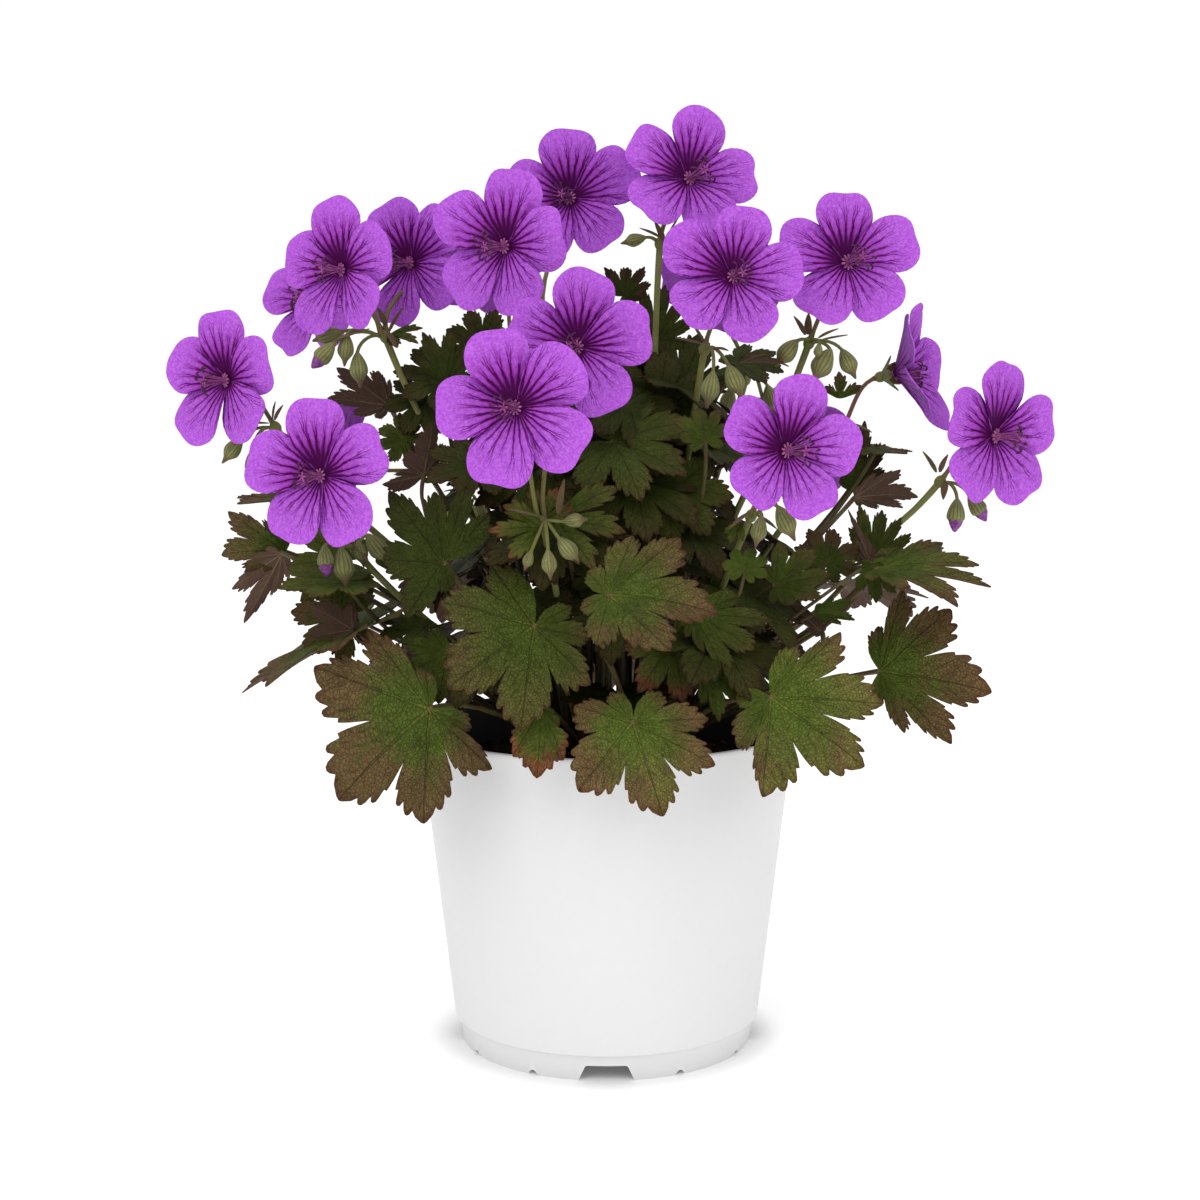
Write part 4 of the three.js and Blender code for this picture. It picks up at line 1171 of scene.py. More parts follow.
def bend_blade(blade, rng, **changes):
    """Gives a flat blade its own lobes, folds and droop."""
    shape = {**BLADE_SHAPE, **changes}
    points = points_of(blade)
    reach = np.hypot(points[:, 0], points[:, 1])
    turn = np.degrees(np.arctan2(points[:, 1], points[:, 0]))
    lobes = np.arange(-LOBE_SIDES, LOBE_SIDES + 1) * LOBE_TURN
    shifts, changed, falls, twists = ([rng.uniform(*chance) for _ in lobes] for chance in LOBE_CHANCES)
    stretches = [1 + change for change in changed]
    own = shape["lobes"]
    for place, (own_turn, own_reach) in enumerate(own):
        number = place - len(own) // 2
        shifts[number + LOBE_SIDES] = own_turn - number * LOBE_TURN
        stretches[number + LOBE_SIDES] = own_reach / LOBE_REACH[abs(number)]
    lobe = np.clip(np.rint(turn / LOBE_TURN), -LOBE_SIDES, LOBE_SIDES)
    off = turn - lobe * LOBE_TURN
    beside = np.clip(off / (LOBE_TURN / 2), -1, 1)
    index = (lobe + LOBE_SIDES).astype(int)
    fall, twist = np.array(falls)[index], np.array(twists)[index]
    phase = rng.uniform(0, 2 * math.pi)
    gape = (shape["gape"] + rng.uniform(*GAPE_CHANCE)) * smooth(0.42, 0.9, reach)
    reach = reach * np.interp(turn, lobes, stretches)
    turn = np.radians(turn + np.interp(turn, lobes, shifts) - off * gape)
    ahead, aside = reach * np.cos(turn), reach * np.sin(turn)
    beyond = np.maximum(reach - 0.45, 0)
    height = shape["vee"] * reach * np.sqrt(beside ** 2 + 0.02)
    height -= shape["sag"] * reach ** 2 + fall * beyond ** 2
    height += twist * beside * beyond * 2 + WAVE_HEIGHT * reach ** 3 * np.sin(WAVES * turn + phase)
    height += shape["cup"] * (np.sqrt(aside ** 2 + 0.01) - 0.1)
    curl = shape["curl"]
    arc = ahead * curl
    set_points(blade, rows(np.sin(arc) / curl + height * np.sin(arc), aside,
                           height * np.cos(arc) - (1 - np.cos(arc)) / curl))


def blade_tone(rng, place):
    """How bronze, how light and how red at the rim a blade is, from where it grows; how light is painted
    shade, darker nearer the plant's middle.
    """
    x, y, _ = place
    outer = float(smooth(*SHADED_TO_SUNNY, math.hypot(x, y)))
    bronze = 0.4 + 0.5 * outer + rng.uniform(-0.12, 0.12)
    light = 0.55 + 0.55 * outer + rng.uniform(-0.08, 0.08)
    return bronze, light, rng.uniform(0, 0.35)


def levelled(blade, middle):
    """Turns and scales a bent blade so that the tip of its middle lobe is back at (1, 0, 0)."""
    x, y, z = points_of(blade)[middle]
    turn = Matrix.Rotation(math.atan2(z, x), 4, "Y") @ Matrix.Rotation(-math.atan2(y, x), 4, "Z")
    move_points(blade, Matrix.Scale(1 / math.hypot(x, y, z), 4) @ turn)


def make_blade(flat, name, place, tip, face, rng, tone=None, **changes):
    """A finished blade from its junction to the tip of its middle lobe, and its own frame."""
    junction = Vector(place)
    ahead = Vector(tip) - junction
    blade = copy_of(flat, name)
    middle = int(np.argmax(points_of(blade)[:, 0]))
    bend_blade(blade, rng, **changes)
    levelled(blade, middle)
    matrix = frame_at(junction * MM, ahead, face)
    move_points(blade, matrix @ Matrix.Scale(ahead.length * MM, 4))
    set_tone(blade, tone or blade_tone(rng, place))
    give(blade, leaf_upper(), leaf_lower())
    thicken(blade, settings().leaf.thickness, material_offset=1)
    return shade_smooth(blade, SMOOTH_EDGES), matrix


def make_leaf(flat, name, place, tip, face, rng, nodes=(), swing=0, stalk_painted_light=1.0, **changes):
    """A blade and the petiole that carries it from the crown."""
    blade, matrix = make_blade(flat, name, place, tip, face, rng, **changes)
    keep(blade, "leaf_blade", *nodes)
    junction = Vector(place)
    forward, upper = matrix.col[0].to_3d(), matrix.col[2].to_3d()
    start, out = root_of(place, swing)
    share_of_full = min(1, (Vector(tip) - junction).length / FULL_BLADE)
    width = settings().leaf.petiole / MM * (0.55 + 0.45 * share_of_full)
    arriving = (forward * 0.45 + upper * 0.9).normalized()
    handles = stem_handles(start, out, junction - upper * 0.25, arriving)
    stalk = stems(name + "_stalk", [(handles, width, 1.6, 1.1)], 1, 6)
    # The stalk is darkened as painted shade by the level given for it.
    redden(stalk, *PETIOLE_RED, stalk_painted_light)
    give(stalk, petiole_brown())
    keep(stalk, "stem_green", *nodes)


def each_leaf(table, prefix, seed):
    """The leaves of a table: full name, seat, own random numbers and extras."""
    for number, (name, (*seat, changes)) in enumerate(table.items()):
        yield prefix + name, seat, random.Random(seed + number), changes


GOLDEN_TURN = math.pi * (3 - math.sqrt(5))
INNER_LOWEST = 124
INNER_RISE = 104  # from the lowest inner leaf to the highest
INNER_REACH = 58  # of the lowest inner leaves
INNER_TAPER = 34  # how much less the highest reach


def filler_leaves(rng, count):
    """Places for leaves inside the plant, spread evenly round it and up it."""
    for index in range(count):
        part = (index + 0.5) / count
        azimuth = index * GOLDEN_TURN + rng.uniform(-0.2, 0.2)
        height = INNER_LOWEST + INNER_RISE * part + rng.uniform(-6, 6)
        out = (INNER_REACH - INNER_TAPER * part ** 1.5) * (0.35 + 0.65 * rng.random() ** 0.5)
        place = Vector((out * 1.15 * math.cos(azimuth), out * math.sin(azimuth), height))
        level = Vector((math.cos(azimuth), math.sin(azimuth), 0))
        ahead = (level * 0.7 + UP * rng.uniform(-1.0, 0.3)).normalized()
        face = (level * rng.uniform(0.6, 1.6) + UP).normalized()
        yield place, place + ahead * rng.uniform(20, 28), face


# ------------------------------------------------------------------ flowers

PETALS = 5
PETAL_SPREAD = 43
PETAL_COLUMNS = 26
PETAL_ROWS = 12
CUP_SHADE_TURN = 15  # the throat is darkest on the petals that point this far round from the top, as painted shade inside the cupped flower
PETAL_FULLNESS = 3.2  # how square its outline is at the sides
PETAL_ROUNDNESS = 0.55  # and at the tip

# How far the petals of a flower differ: degrees out of place, and shares of the flower's radius.
PETAL_TWIST = 2.5
PETAL_WIDTHS = (0.94, 1.06)
PETAL_LENGTHS = (0.94, 1.03)
PETAL_DEPTHS = (0.34, 0.41)
PETAL_NOTCHES = (-0.01, 0.05)
PETAL_DROOPS = (0.02, 0.10)


def flat_petal():
    """A petal of unit length from the throat along +X, obovate, with its UV across and along it."""
    bpy.ops.mesh.primitive_grid_add(x_subdivisions=PETAL_COLUMNS, y_subdivisions=PETAL_ROWS, size=1)
    petal = named("petal")
    points = points_of(petal)
    across = points[:, 0] * 2
    across = np.sin(across * math.pi / 2) * 0.35 + across * 0.65
    along = (points[:, 1] + 0.5) ** 0.9
    edge = np.clip(1 - np.abs(across) ** PETAL_FULLNESS, 0, 1) ** PETAL_ROUNDNESS
    reach = along * edge
    turn = np.radians(across * PETAL_SPREAD)
    set_points(petal, rows(reach * np.cos(turn), reach * np.sin(turn), 0))
    face_up(petal)
    set_uv(petal, rows(across / 2 + 0.5, reach))
    return petal


def bend_petal(petal, rng, funnel=0.0):
    """A shallow saucer, or a funnel, that tips so that each petal lies over the next."""
    points = points_of(petal)
    wide, long = rng.uniform(*PETAL_WIDTHS), rng.uniform(*PETAL_LENGTHS)
    ahead, aside = points[:, 0] * long, points[:, 1] * wide
    reach = np.hypot(ahead, aside)
    side = aside / np.maximum(0.12 + 0.36 * reach, 0.12)
    phase, deep = rng.uniform(0, 6.28), rng.uniform(*PETAL_DEPTHS)
    notch = rng.uniform(*PETAL_NOTCHES)
    height = (deep + funnel) * reach - 0.15 * reach ** 2
    height += 0.045 * side * smooth(0.05, 0.4, reach)
    height += 0.03 * smooth(0.5, 1.0, reach) * np.sin(3.4 * side + phase)
    height -= rng.uniform(*PETAL_DROOPS) * np.maximum(reach - 0.6, 0) ** 1.5
    height -= 0.05 * np.maximum(np.abs(aside) - 0.2, 0) / 0.2 * smooth(0.5, 0.9, reach)
    height += 0.006 * np.cos(side * 9) * smooth(0.15, 0.5, reach)
    ragged = 0.018 * np.sin(5 * side + 3 * phase) - notch * np.exp(-(side / 0.28) ** 2)
    margin = 1 + smooth(0.55, 1.0, reach) * ragged
    narrow = 1 / math.hypot(1, funnel)
    set_points(petal, rows(ahead * margin * narrow, aside * margin, height * narrow))


def make_corolla(petal, flower, matrix, rng, roll, funnel):
    petals = []
    for index in range(PETALS):
        one = copy_of(petal, f"{flower}_petal_{index}")
        bend_petal(one, rng, funnel)
        turn = 360 / PETALS * index + rng.uniform(-PETAL_TWIST, PETAL_TWIST)
        # How far a petal points from where the painted shade of the cup is deepest.
        below = 0.5 - 0.5 * math.cos(math.radians(turn + roll - CUP_SHADE_TURN))
        set_tone(one, (below, rng.random(), 0))
        tip = turned(rng.uniform(-PETAL_TWIST, PETAL_TWIST), "Y")
        move_points(one, turned(turn) @ tip)
        petals.append(one)
    corolla = joined(petals, flower + "_petals")
    radius = settings().flower.radius * FLOWER_SIZES.get(flower, 1)
    move_points(corolla, matrix @ Matrix.Scale(radius, 4))
    give(corolla, petal_face(), petal_back())
    thicken(corolla, settings().flower.thickness, material_offset=1)
    keep(shade_smooth(corolla, SMOOTH_EDGES), "petal_violet", flower)


STAMENS = 10
STAMEN_LENGTH = 10.5
SEPAL_LENGTH, SEPAL_WIDTH, SEPAL_THICKNESS = 10.5, 3.8, 0.35
RECEPTACLE_RADII = (1.9, 1.9, 2.1)
STAMEN_LEAN = 22  # the brush leans outwards from the plant, in degrees
STAMEN_SEED = 5
FLOWER_SEED = 300
SEPAL_LEAN = 22  # the sepals lie this far behind the petals, in degrees


def ring_way(index, count, offset=0.0):
    turn = 2 * math.pi * (index + offset) / count
    return Vector((math.cos(turn), math.sin(turn), 0))


def make_stamens():
    """A pale rosette in the throat, and a brush of ten filaments with dark curled ends along +Z."""
    rng = random.Random(STAMEN_SEED)
    reaches = [rng.uniform(1.7, 3.4) for _ in range(STAMENS)]
    lengths = [STAMEN_LENGTH + rng.uniform(-1.8, 0.8) for _ in range(STAMENS)]

    def filament(index):
        out = ring_way(index, STAMENS)
        head = out * reaches[index] + UP * lengths[index]
        return [out * 0.7, out * 0.8 + UP * 4, out * reaches[index] * 0.6 + UP * lengths[index] * 0.75, head]

    def curl(index):
        out = ring_way(index, STAMENS, rng.uniform(-0.6, 0.6))
        head = filament(index)[3]
        return [head, head + UP * 1.0, head + out * 1.9 + UP * 0.9, head + out * 1.7 - UP * 0.9]

    def lobe(index):
        out = ring_way(index, STAMENS, 0.5)
        return [out * 0.5 - UP * 0.4, out * 0.9 + UP * 1.2, out * 1.5 + UP * 1.7, out * 2.5 + UP * 1.1]

    def stigma(index):
        out = ring_way(index, PETALS, 0.25)
        return [UP * 8.4, out * 0.3 + UP * 9.4, out * 1.0 + UP * 9.9, out * 1.7 + UP * 9.3]

    style = [UP * 0, UP * 3, UP * 6, UP * 8.6]
    parts = []
    for name, finish, steps, runs in (
        ("filaments", "filament", 3, [(filament(i), 0.24, 1.5, 0.9) for i in range(STAMENS)]),
        ("curls", "anther", 3, [(curl(i), 0.34, 0.9, 0.8) for i in range(STAMENS)]),
        ("rosette", "stigma", 3, [(lobe(i), 0.42, 1.1, 0.7) for i in range(STAMENS)]),
        ("style", "filament", 3, [(style, 0.4, 1.3, 0.9)]),
        ("stigmas", "filament", 2, [(stigma(i), 0.26, 1.1, 0.8) for i in range(PETALS)]),
    ):
        parts.append(give(stems(name, runs, 1, steps), plain_finish(finish)))
    return joined(parts, "stamens")


def leaf_shaped(name, length, width, cells=(8, 6)):
    """A pointed, hollow-backed sheet from the origin along +X, in millimetres, facing +Z."""
    bpy.ops.mesh.primitive_grid_add(x_subdivisions=cells[0], y_subdivisions=cells[1], size=1)
    sheet = named(name)
    points = points_of(sheet)
    along, across = points[:, 0] + 0.5, points[:, 1] * 2
    half = width / 2 * np.sin(math.pi * np.clip(along, 0, 1) ** 0.75) ** 0.8 + 0.35 * (1 - along)
    height = 0.22 * width * across ** 2 * np.sin(math.pi * along)
    set_points(sheet, rows(along * length, across * half, height) * MM)
    face_up(sheet)
    set_uv(sheet, rows(across / 2 + 0.5, along))
    set_tone(sheet, rows(smooth(0.5, 1.0, along) * 0.8, 1, 0))
    return sheet


def make_calyx(funnel=0.0):
    """Five sepals and their receptacle behind a flower whose throat is the origin, facing +Z."""
    lean = Matrix.Rotation(-math.radians(SEPAL_LEAN) - math.atan(funnel), 4, "Y")
    lean = lean @ Matrix.Translation((0.9 * MM, 0, 0))
    place = Matrix.Translation(UP * (0.8 - CALYX_DEPTH) * MM)
    sepals = []
    for index in range(PETALS):
        sepal = leaf_shaped(f"sepal_{index}", SEPAL_LENGTH - 8 * funnel, SEPAL_WIDTH - 2 * funnel)
        turn = 2 * math.pi * (index + 0.5) / PETALS
        move_points(sepal, place @ Matrix.Rotation(turn, 4, "Z") @ lean)
        sepals.append(sepal)
    calyx = thicken(joined(sepals, "calyx"), SEPAL_THICKNESS * MM)
    bpy.ops.mesh.primitive_uv_sphere_add(segments=14, ring_count=8, radius=1)
    cup = named("receptacle")
    set_points(cup, (points_of(cup) * RECEPTACLE_RADII + (0, 0, 1.0 - CALYX_DEPTH)) * MM)
    set_tone(cup, (0.3, 1, 0))
    calyx = joined([calyx, cup], "calyx")
    return shade_smooth(give(calyx, sepal_green()), SMOOTH_EDGES)


def pedicel_start(fork, throat, count):
    upward = fork_direction(fork)
    start = Vector(fork) + upward * TOUCH_GAP
    if count == 1:
        return start
    towards = Vector(throat) - start
    towards -= upward * towards.dot(upward)
    return start + towards.normalized() * PEDICEL_SPREAD


# ------------------------------------------------------------------ buds

BUD_RIBS = 15
BUD_STALK_RADIUS = 0.62
BUD_NECK = 0.8  # how far a stalk runs into its bud
BUD_RISE = 0.8  # how much it rises as it leaves the stem
BUD_WIDTH = 0.55  # as a share of its length
BUD_STALK_RED = 0.12
BRACT_WIDTH = 1.9
BRACT_THICKNESS = 0.3
BUD_SEED = 41


def rolled_petals(name):
    """The petals that show at the tip of an opening bud."""
    bpy.ops.mesh.primitive_uv_sphere_add(segments=20, ring_count=12, radius=1)
    petals = named(name)
    points = points_of(petals)
    swirl = 1 + 0.12 * np.cos(PETALS * np.arctan2(points[:, 1], points[:, 0]) + 3 * points[:, 2])
    pointed = 1 - 0.45 * smooth(0, 1, -points[:, 2])
    points[:, :2] *= (0.2 * swirl * pointed)[:, None]
    points[:, 2] = points[:, 2] * 0.32 + 0.33
    set_points(petals, points)
    set_uv(petals, rows(np.full(len(points), 0.45), 0.2))
    return shade_smooth(give(petals, plain_finish("bud petals")))


def make_bud(name, open_share=0.0):
    """A pointed, ribbed bud of unit length whose tip is the origin and whose neck is up +Z."""
    bpy.ops.mesh.primitive_uv_sphere_add(segments=30, ring_count=18, radius=1)
    bud = named(name)
    points = points_of(bud)
    level = points[:, 2] / 2 + 0.5
    turn = np.arctan2(points[:, 1], points[:, 0])
    belly = np.sin(math.pi * np.clip(level, 0, 1) ** 0.78) ** 0.72 * (0.45 + 0.55 * smooth(0, 0.4, level))
    seam = np.abs(((turn / (2 * math.pi) * PETALS) % 1) - 0.5) * 2
    rib = 1 - 0.10 * (1 - smooth(0, 0.3, seam)) * np.sin(math.pi * level) + 0.025 * np.cos(BUD_RIBS * turn)
    out = BUD_WIDTH / 2 * belly * rib
    height = level - 0.1 * (1 - smooth(0, 0.12, level)) + 0.05
    if open_share:
        lift = open_share * (1 - smooth(0.0, 0.45, level))
        height += lift * (0.45 + 0.4 * seam)
        out *= 1 + 0.5 * lift
    set_points(bud, rows(out * np.cos(turn), out * np.sin(turn), height))
    set_uv(bud, rows(turn / (2 * math.pi) + 0.5, level))
    brown = 0.8 * (1 - smooth(0.02, 0.3, level)) + 0.55 * (1 - smooth(0.0, 0.22, seam))
    set_tone(bud, rows(np.clip(brown, 0, 1), 1, 0))
    shade_smooth(give(bud, sepal_green()))
    if open_share:
        bud = joined([bud, rolled_petals(name + "_petals")], name)
    return bud


def make_cluster(name, fork, buds, rng, nodes=()):
    """Nodding buds on arched pedicels that leave the stem just under its fork."""
    upward = fork_direction(fork)
    middle = sum((Vector(neck) for neck, _, _ in buds), Vector()) / len(buds)
    collar = Vector(fork) - upward * FORK_LENGTH / 3
    outward = middle - collar
    outward = (outward - upward * outward.dot(upward)).normalized()
    foot = collar + outward * (FORK_RADIUS - 0.9)
    runs, heads = [], []
    for index, (neck, tip, open_share) in enumerate(buds):
        neck, tip = Vector(neck), Vector(tip)
        pointing = (tip - neck).normalized()
        leaving = (outward + UP * BUD_RISE).normalized()
        inside = neck + pointing * BUD_NECK
        runs.append((stem_handles(foot, leaving, inside, pointing), BUD_STALK_RADIUS, 1.3, 1.5))
        bud = make_bud(f"{name}_{index}", open_share)
        spin = Matrix.Rotation(rng.uniform(0, 6), 4, "Z") @ Matrix.Scale((tip - neck).length * MM, 4)
        move_points(bud, frame_at(tip * MM, outward, -pointing) @ spin)
        heads.append(bud)
    keep(joined(heads, name), "bud_green", *nodes)
    stalks = stems(name + "_stalks", runs, 1, 6)
    set_tone(stalks, (BUD_STALK_RED, 1, 0))
    give(stalks, stem_green())
    keep(stalks, "stem_green", *nodes)


def make_bracts(name, feet_and_tips):
    """The narrow bracts at one fork."""
    sheets = []
    for index, (foot, tip) in enumerate(feet_and_tips):
        ahead = Vector(tip) - Vector(foot)
        sheet = leaf_shaped(f"{name}_{index}", ahead.length, BRACT_WIDTH, (6, 4))
        away = (ahead.cross(UP).cross(ahead) + Vector((0, -0.4, 0))).normalized()
        move_points(sheet, frame_at(metres(foot), ahead, away))
        set_tone(sheet, (0.85, 1, 0))
        sheets.append(sheet)
    bracts = thicken(joined(sheets, name), BRACT_THICKNESS * MM)
    keep(shade_smooth(give(bracts, sepal_green()), SMOOTH_EDGES), "leaf_blade")


# ------------------------------------------------------------------ operators

POT_SIDES = 160
FLOOR_UP = 5.7  # how far the floor's underside is set up inside the foot
FLOOR_INSET = 12  # width of the ring of faces round the floor's fan
FLOOR_RADIUS = 46  # faces within it, and above the next height, are inside the pot
FOOT_TOP = 5
NOTCH_SIZE = (20, 16, 7.2)
NOTCH_NARROWS = 0.68  # width of a notch at its top, as a share
DRAIN_TURN = 29  # degrees from a wide notch to the small ones beside it
POT_EDGES, MIX_EDGES, CROWN_EDGES = 35, 40, 50  # what SMOOTH_EDGES is for the plant, in degrees


class GERANIUM_OT_pot(Operator):
    """Builds the white nursery pot with its black inside and its notched foot"""
    bl_idname = "geranium.pot"
    bl_label = "Pot"

    def execute(self, context):
        chosen = settings().pot
        pot = self.make_shell(chosen.height / MM, chosen.rim_radius / MM, chosen.wall / MM)
        close_below(pot, -FLOOR_UP, inset=FLOOR_INSET)
        self.cut_notches(pot)
        give(pot, pot_outside(), pot_inside())
        for face in pot.data.polygons:
            outward = Vector((face.center.x, face.center.y, 0)).normalized()
            inner = face.normal.dot(outward) < -0.3 or face.center.xy.length < FLOOR_RADIUS * MM
            face.material_index = int(inner and face.center.z > FOOT_TOP * MM)
        keep(shade_smooth(pot, POT_EDGES), "pot_plastic", "pot")
        return {"FINISHED"}

    def make_shell(self, height, rim, wall):
        """The wall and the floor's upper side, still open inside the foot."""
        profile = [  # up the outside, over the lip and down the inside: radius, height
            (47.6, 0.4), (48.0, 0), (49.3, 0), (49.7, 0.5), (50.4, 7.9), (50.6, 8.3), (51.7, 8.7),
            (52.2, 9.2), (rim - 2.2, height - 13), (rim - 1.7, height - 9), (rim - 1.0, height - 5),
            (rim - 0.25, height - 1.8), (rim, height - 0.9), (rim - 0.15, height - 0.3), (rim - 0.6, height),
            (rim - 1.1, height - 0.1), (rim - 1.5, height - 0.6), (rim - 1.1 - wall, height - 5),
            (rim - 2.2 - wall, height - 13), (51.4 - wall, 10.5), (50.8 - wall, 8.6), (49.6 - wall, 7.6),
        ]
        radius, level = profile[0]
        bpy.ops.mesh.primitive_circle_add(vertices=POT_SIDES, radius=radius * MM, location=(0, 0, level * MM))
        pot = apply_place(named("pot_shell"))
        with editing(pot):
            for (radius, level), (next_radius, next_level) in zip(profile, profile[1:]):
                rise = (next_level - level) * MM
                grow = next_radius / radius
                bpy.ops.mesh.extrude_edges_move(TRANSFORM_OT_translate={"value": (0, 0, rise)})
                bpy.ops.transform.resize(value=(grow, grow, 1), center_override=(0, 0, next_level * MM))
            bpy.ops.mesh.edge_face_add()
            bpy.ops.mesh.inset(thickness=FLOOR_INSET * MM)
            bpy.ops.mesh.poke()
        return pot

    def cut_notches(self, pot):
        """Four wide drain notches, small ones between them, and four holes through the floor."""
        cutters = []
        for index in range(4):
            turn = math.radians(90 * index)
            cutters.append(self.notch(turn))
            for aside in (-DRAIN_TURN, DRAIN_TURN):
                lying = (math.pi / 2, 0, 0)
                cutters.append(self.drill(1.6, (0, -44, 0), lying, turn + math.radians(aside), 16))
            cutters.append(self.drill(4.5, (0, -36, 7), (0, 0, 0), turn + math.pi / 4, 8))
        for cutter in cutters:
            apply_modifier(pot, "BOOLEAN", operation="DIFFERENCE", solver="EXACT", object=cutter)
        remove(*cutters)

    def notch(self, turn):
        bpy.ops.mesh.primitive_cube_add(size=1, location=metres((0, -44, 1.6)), scale=metres(NOTCH_SIZE))
        cutter = apply_place(named("notch"))
        points = points_of(cutter)
        points[points[:, 2] > 3 * MM, 0] *= NOTCH_NARROWS
        set_points(cutter, points)
        move_points(cutter, Matrix.Rotation(turn, 4, "Z"))
        return apply_modifier(cutter, "BEVEL", width=0.7 * MM, segments=3, limit_method="ANGLE")

    def drill(self, radius, place, rotation, turn, depth):
        bpy.ops.mesh.primitive_cylinder_add(vertices=24, radius=radius * MM, depth=depth * MM,
                                            location=metres(place), rotation=rotation)
        return move_points(apply_place(named("drill")), Matrix.Rotation(turn, 4, "Z"))


MIX_RADIUS = 59.8
MIX_RINGS = 9
RING_WIDTH = 5.4
MIX_DEPTH = 85
MIX_TAPER = 0.815  # radius at its foot, as a share of that at its top
MIX_SINKS = 2.4  # at the wall
MIX_LUMPS = 0.9
CRUMBS = 340
CRUMBS_REACH = 58.5
CRUMBS_START = 20  # none lie nearer to the middle
CRUMB_TONES = (0, 0, 0.1, 0.3, 0.8)
CROWN_STUBS = 26
STUB_TURN = 2.4  # from one to the next round the crown, in radians
SOIL_SEED = 11


def mix_level(out):
    """Height of the mix at a distance from the middle: it has sunk towards the wall."""
    return SOIL_LEVEL - MIX_SINKS * smooth(28, 60, out)


class GERANIUM_OT_soil(Operator):
    """Builds the potting mix, its loose crumbs and the plant's woody crown"""
    bl_idname = "geranium.soil"
    bl_label = "Potting mix and crown"

    def execute(self, context):
        rng = random.Random(SOIL_SEED)
        soil = joined([self.make_mix(rng), *self.make_crumbs(rng)], "potting_mix")
        keep(shade_smooth(give(soil, mix_dark()), MIX_EDGES), "potting_mix", "soil")
        self.make_crown(rng)
        return {"FINISHED"}

    def make_mix(self, rng):
        """The body of the mix, with a lumpy top."""
        bpy.ops.mesh.primitive_circle_add(vertices=72, radius=MIX_RADIUS * MM, fill_type="NGON",
                                          location=UP * SOIL_LEVEL * MM)
        mix = apply_place(named("potting_mix"))
        with editing(mix):
            for _ in range(MIX_RINGS):
                bpy.ops.mesh.inset(thickness=RING_WIDTH * MM)
            bpy.ops.mesh.poke()
            bpy.ops.mesh.select_all(action="SELECT")
            bpy.ops.mesh.subdivide(number_cuts=1)
        points = points_of(mix)
        out = np.hypot(points[:, 0], points[:, 1]) / MM
        lumps = np.array([rng.uniform(-MIX_LUMPS, MIX_LUMPS) for _ in out])
        lumps *= smooth(10, 30, out) * (1 - smooth(55, 58, out))
        points[:, 2] = (mix_level(out) - 0.4 + lumps) * MM
        set_points(mix, points)
        close_below(mix, MIX_DEPTH, MIX_TAPER)
        set_tone(mix, (0, 1, 0))
        return mix

    def make_crumbs(self, rng):
        """Loose crumbs that lie on the mix, clear of the crown."""
        bpy.ops.mesh.primitive_ico_sphere_add(subdivisions=1, radius=1)
        crumb = named("crumb")
        crumbs = []
        for index in range(CRUMBS):
            azimuth, out = rng.uniform(0, 2 * math.pi), CRUMBS_REACH * math.sqrt(rng.random())
            if out < CRUMBS_START:
                continue
            one = copy_of(crumb, f"crumb_{index}")
            spots = points_of(one) * [[rng.uniform(0.7, 1.3)] for _ in one.data.vertices]
            long = rng.uniform(0.7, 2.2)
            set_points(one, spots * (long, long * rng.uniform(0.4, 0.9), long * rng.uniform(0.3, 0.7)) * MM)
            spin = Matrix.Rotation(rng.uniform(0, 6), 4, "Z")
            spin = spin @ Matrix.Rotation(rng.uniform(-0.5, 0.5), 4, "X")
            place = metres((out * math.cos(azimuth), out * math.sin(azimuth), mix_level(out) - 0.2))
            move_points(one, Matrix.Translation(place) @ spin)
            set_tone(one, (rng.choice(CRUMB_TONES), 1, 0))
            crumbs.append(one)
        remove(crumb)
        return crumbs

    def make_crown(self, rng):
        """The rough dome that every stalk grows from, with the stubs of old ones."""
        bpy.ops.mesh.primitive_uv_sphere_add(segments=48, ring_count=24, radius=1)
        crown = named("woody_crown")
        points = points_of(crown)
        turn = np.arctan2(points[:, 1], points[:, 0])
        rough = 1 + 0.05 * np.sin(7 * turn + 4 * points[:, 2]) + 0.03 * np.sin(17 * turn - 9 * points[:, 2])
        points[:, :2] *= (CROWN_RADIUS * rough)[:, None] * 0.97
        points[:, 2] = np.where(points[:, 2] > 0, points[:, 2] * CROWN_HEIGHT, points[:, 2] * 3) + CROWN_FOOT
        set_points(crown, points * MM)
        stubs = []
        for index in range(CROWN_STUBS):
            place, out = crown_place(index * STUB_TURN, math.radians(rng.uniform(8, 80)))
            end = place + out * rng.uniform(3, 7) + UP * 1.5
            stubs.append((stem_handles(place - out * 2, out, end, out), rng.uniform(1.1, 1.7), 1.3, 0.8))
        crown = joined([crown, stems("crown_stubs", stubs, 1, 2)], "woody_crown")
        keep(shade_smooth(give(crown, bark_brown()), CROWN_EDGES), "crown_bark", "crown")


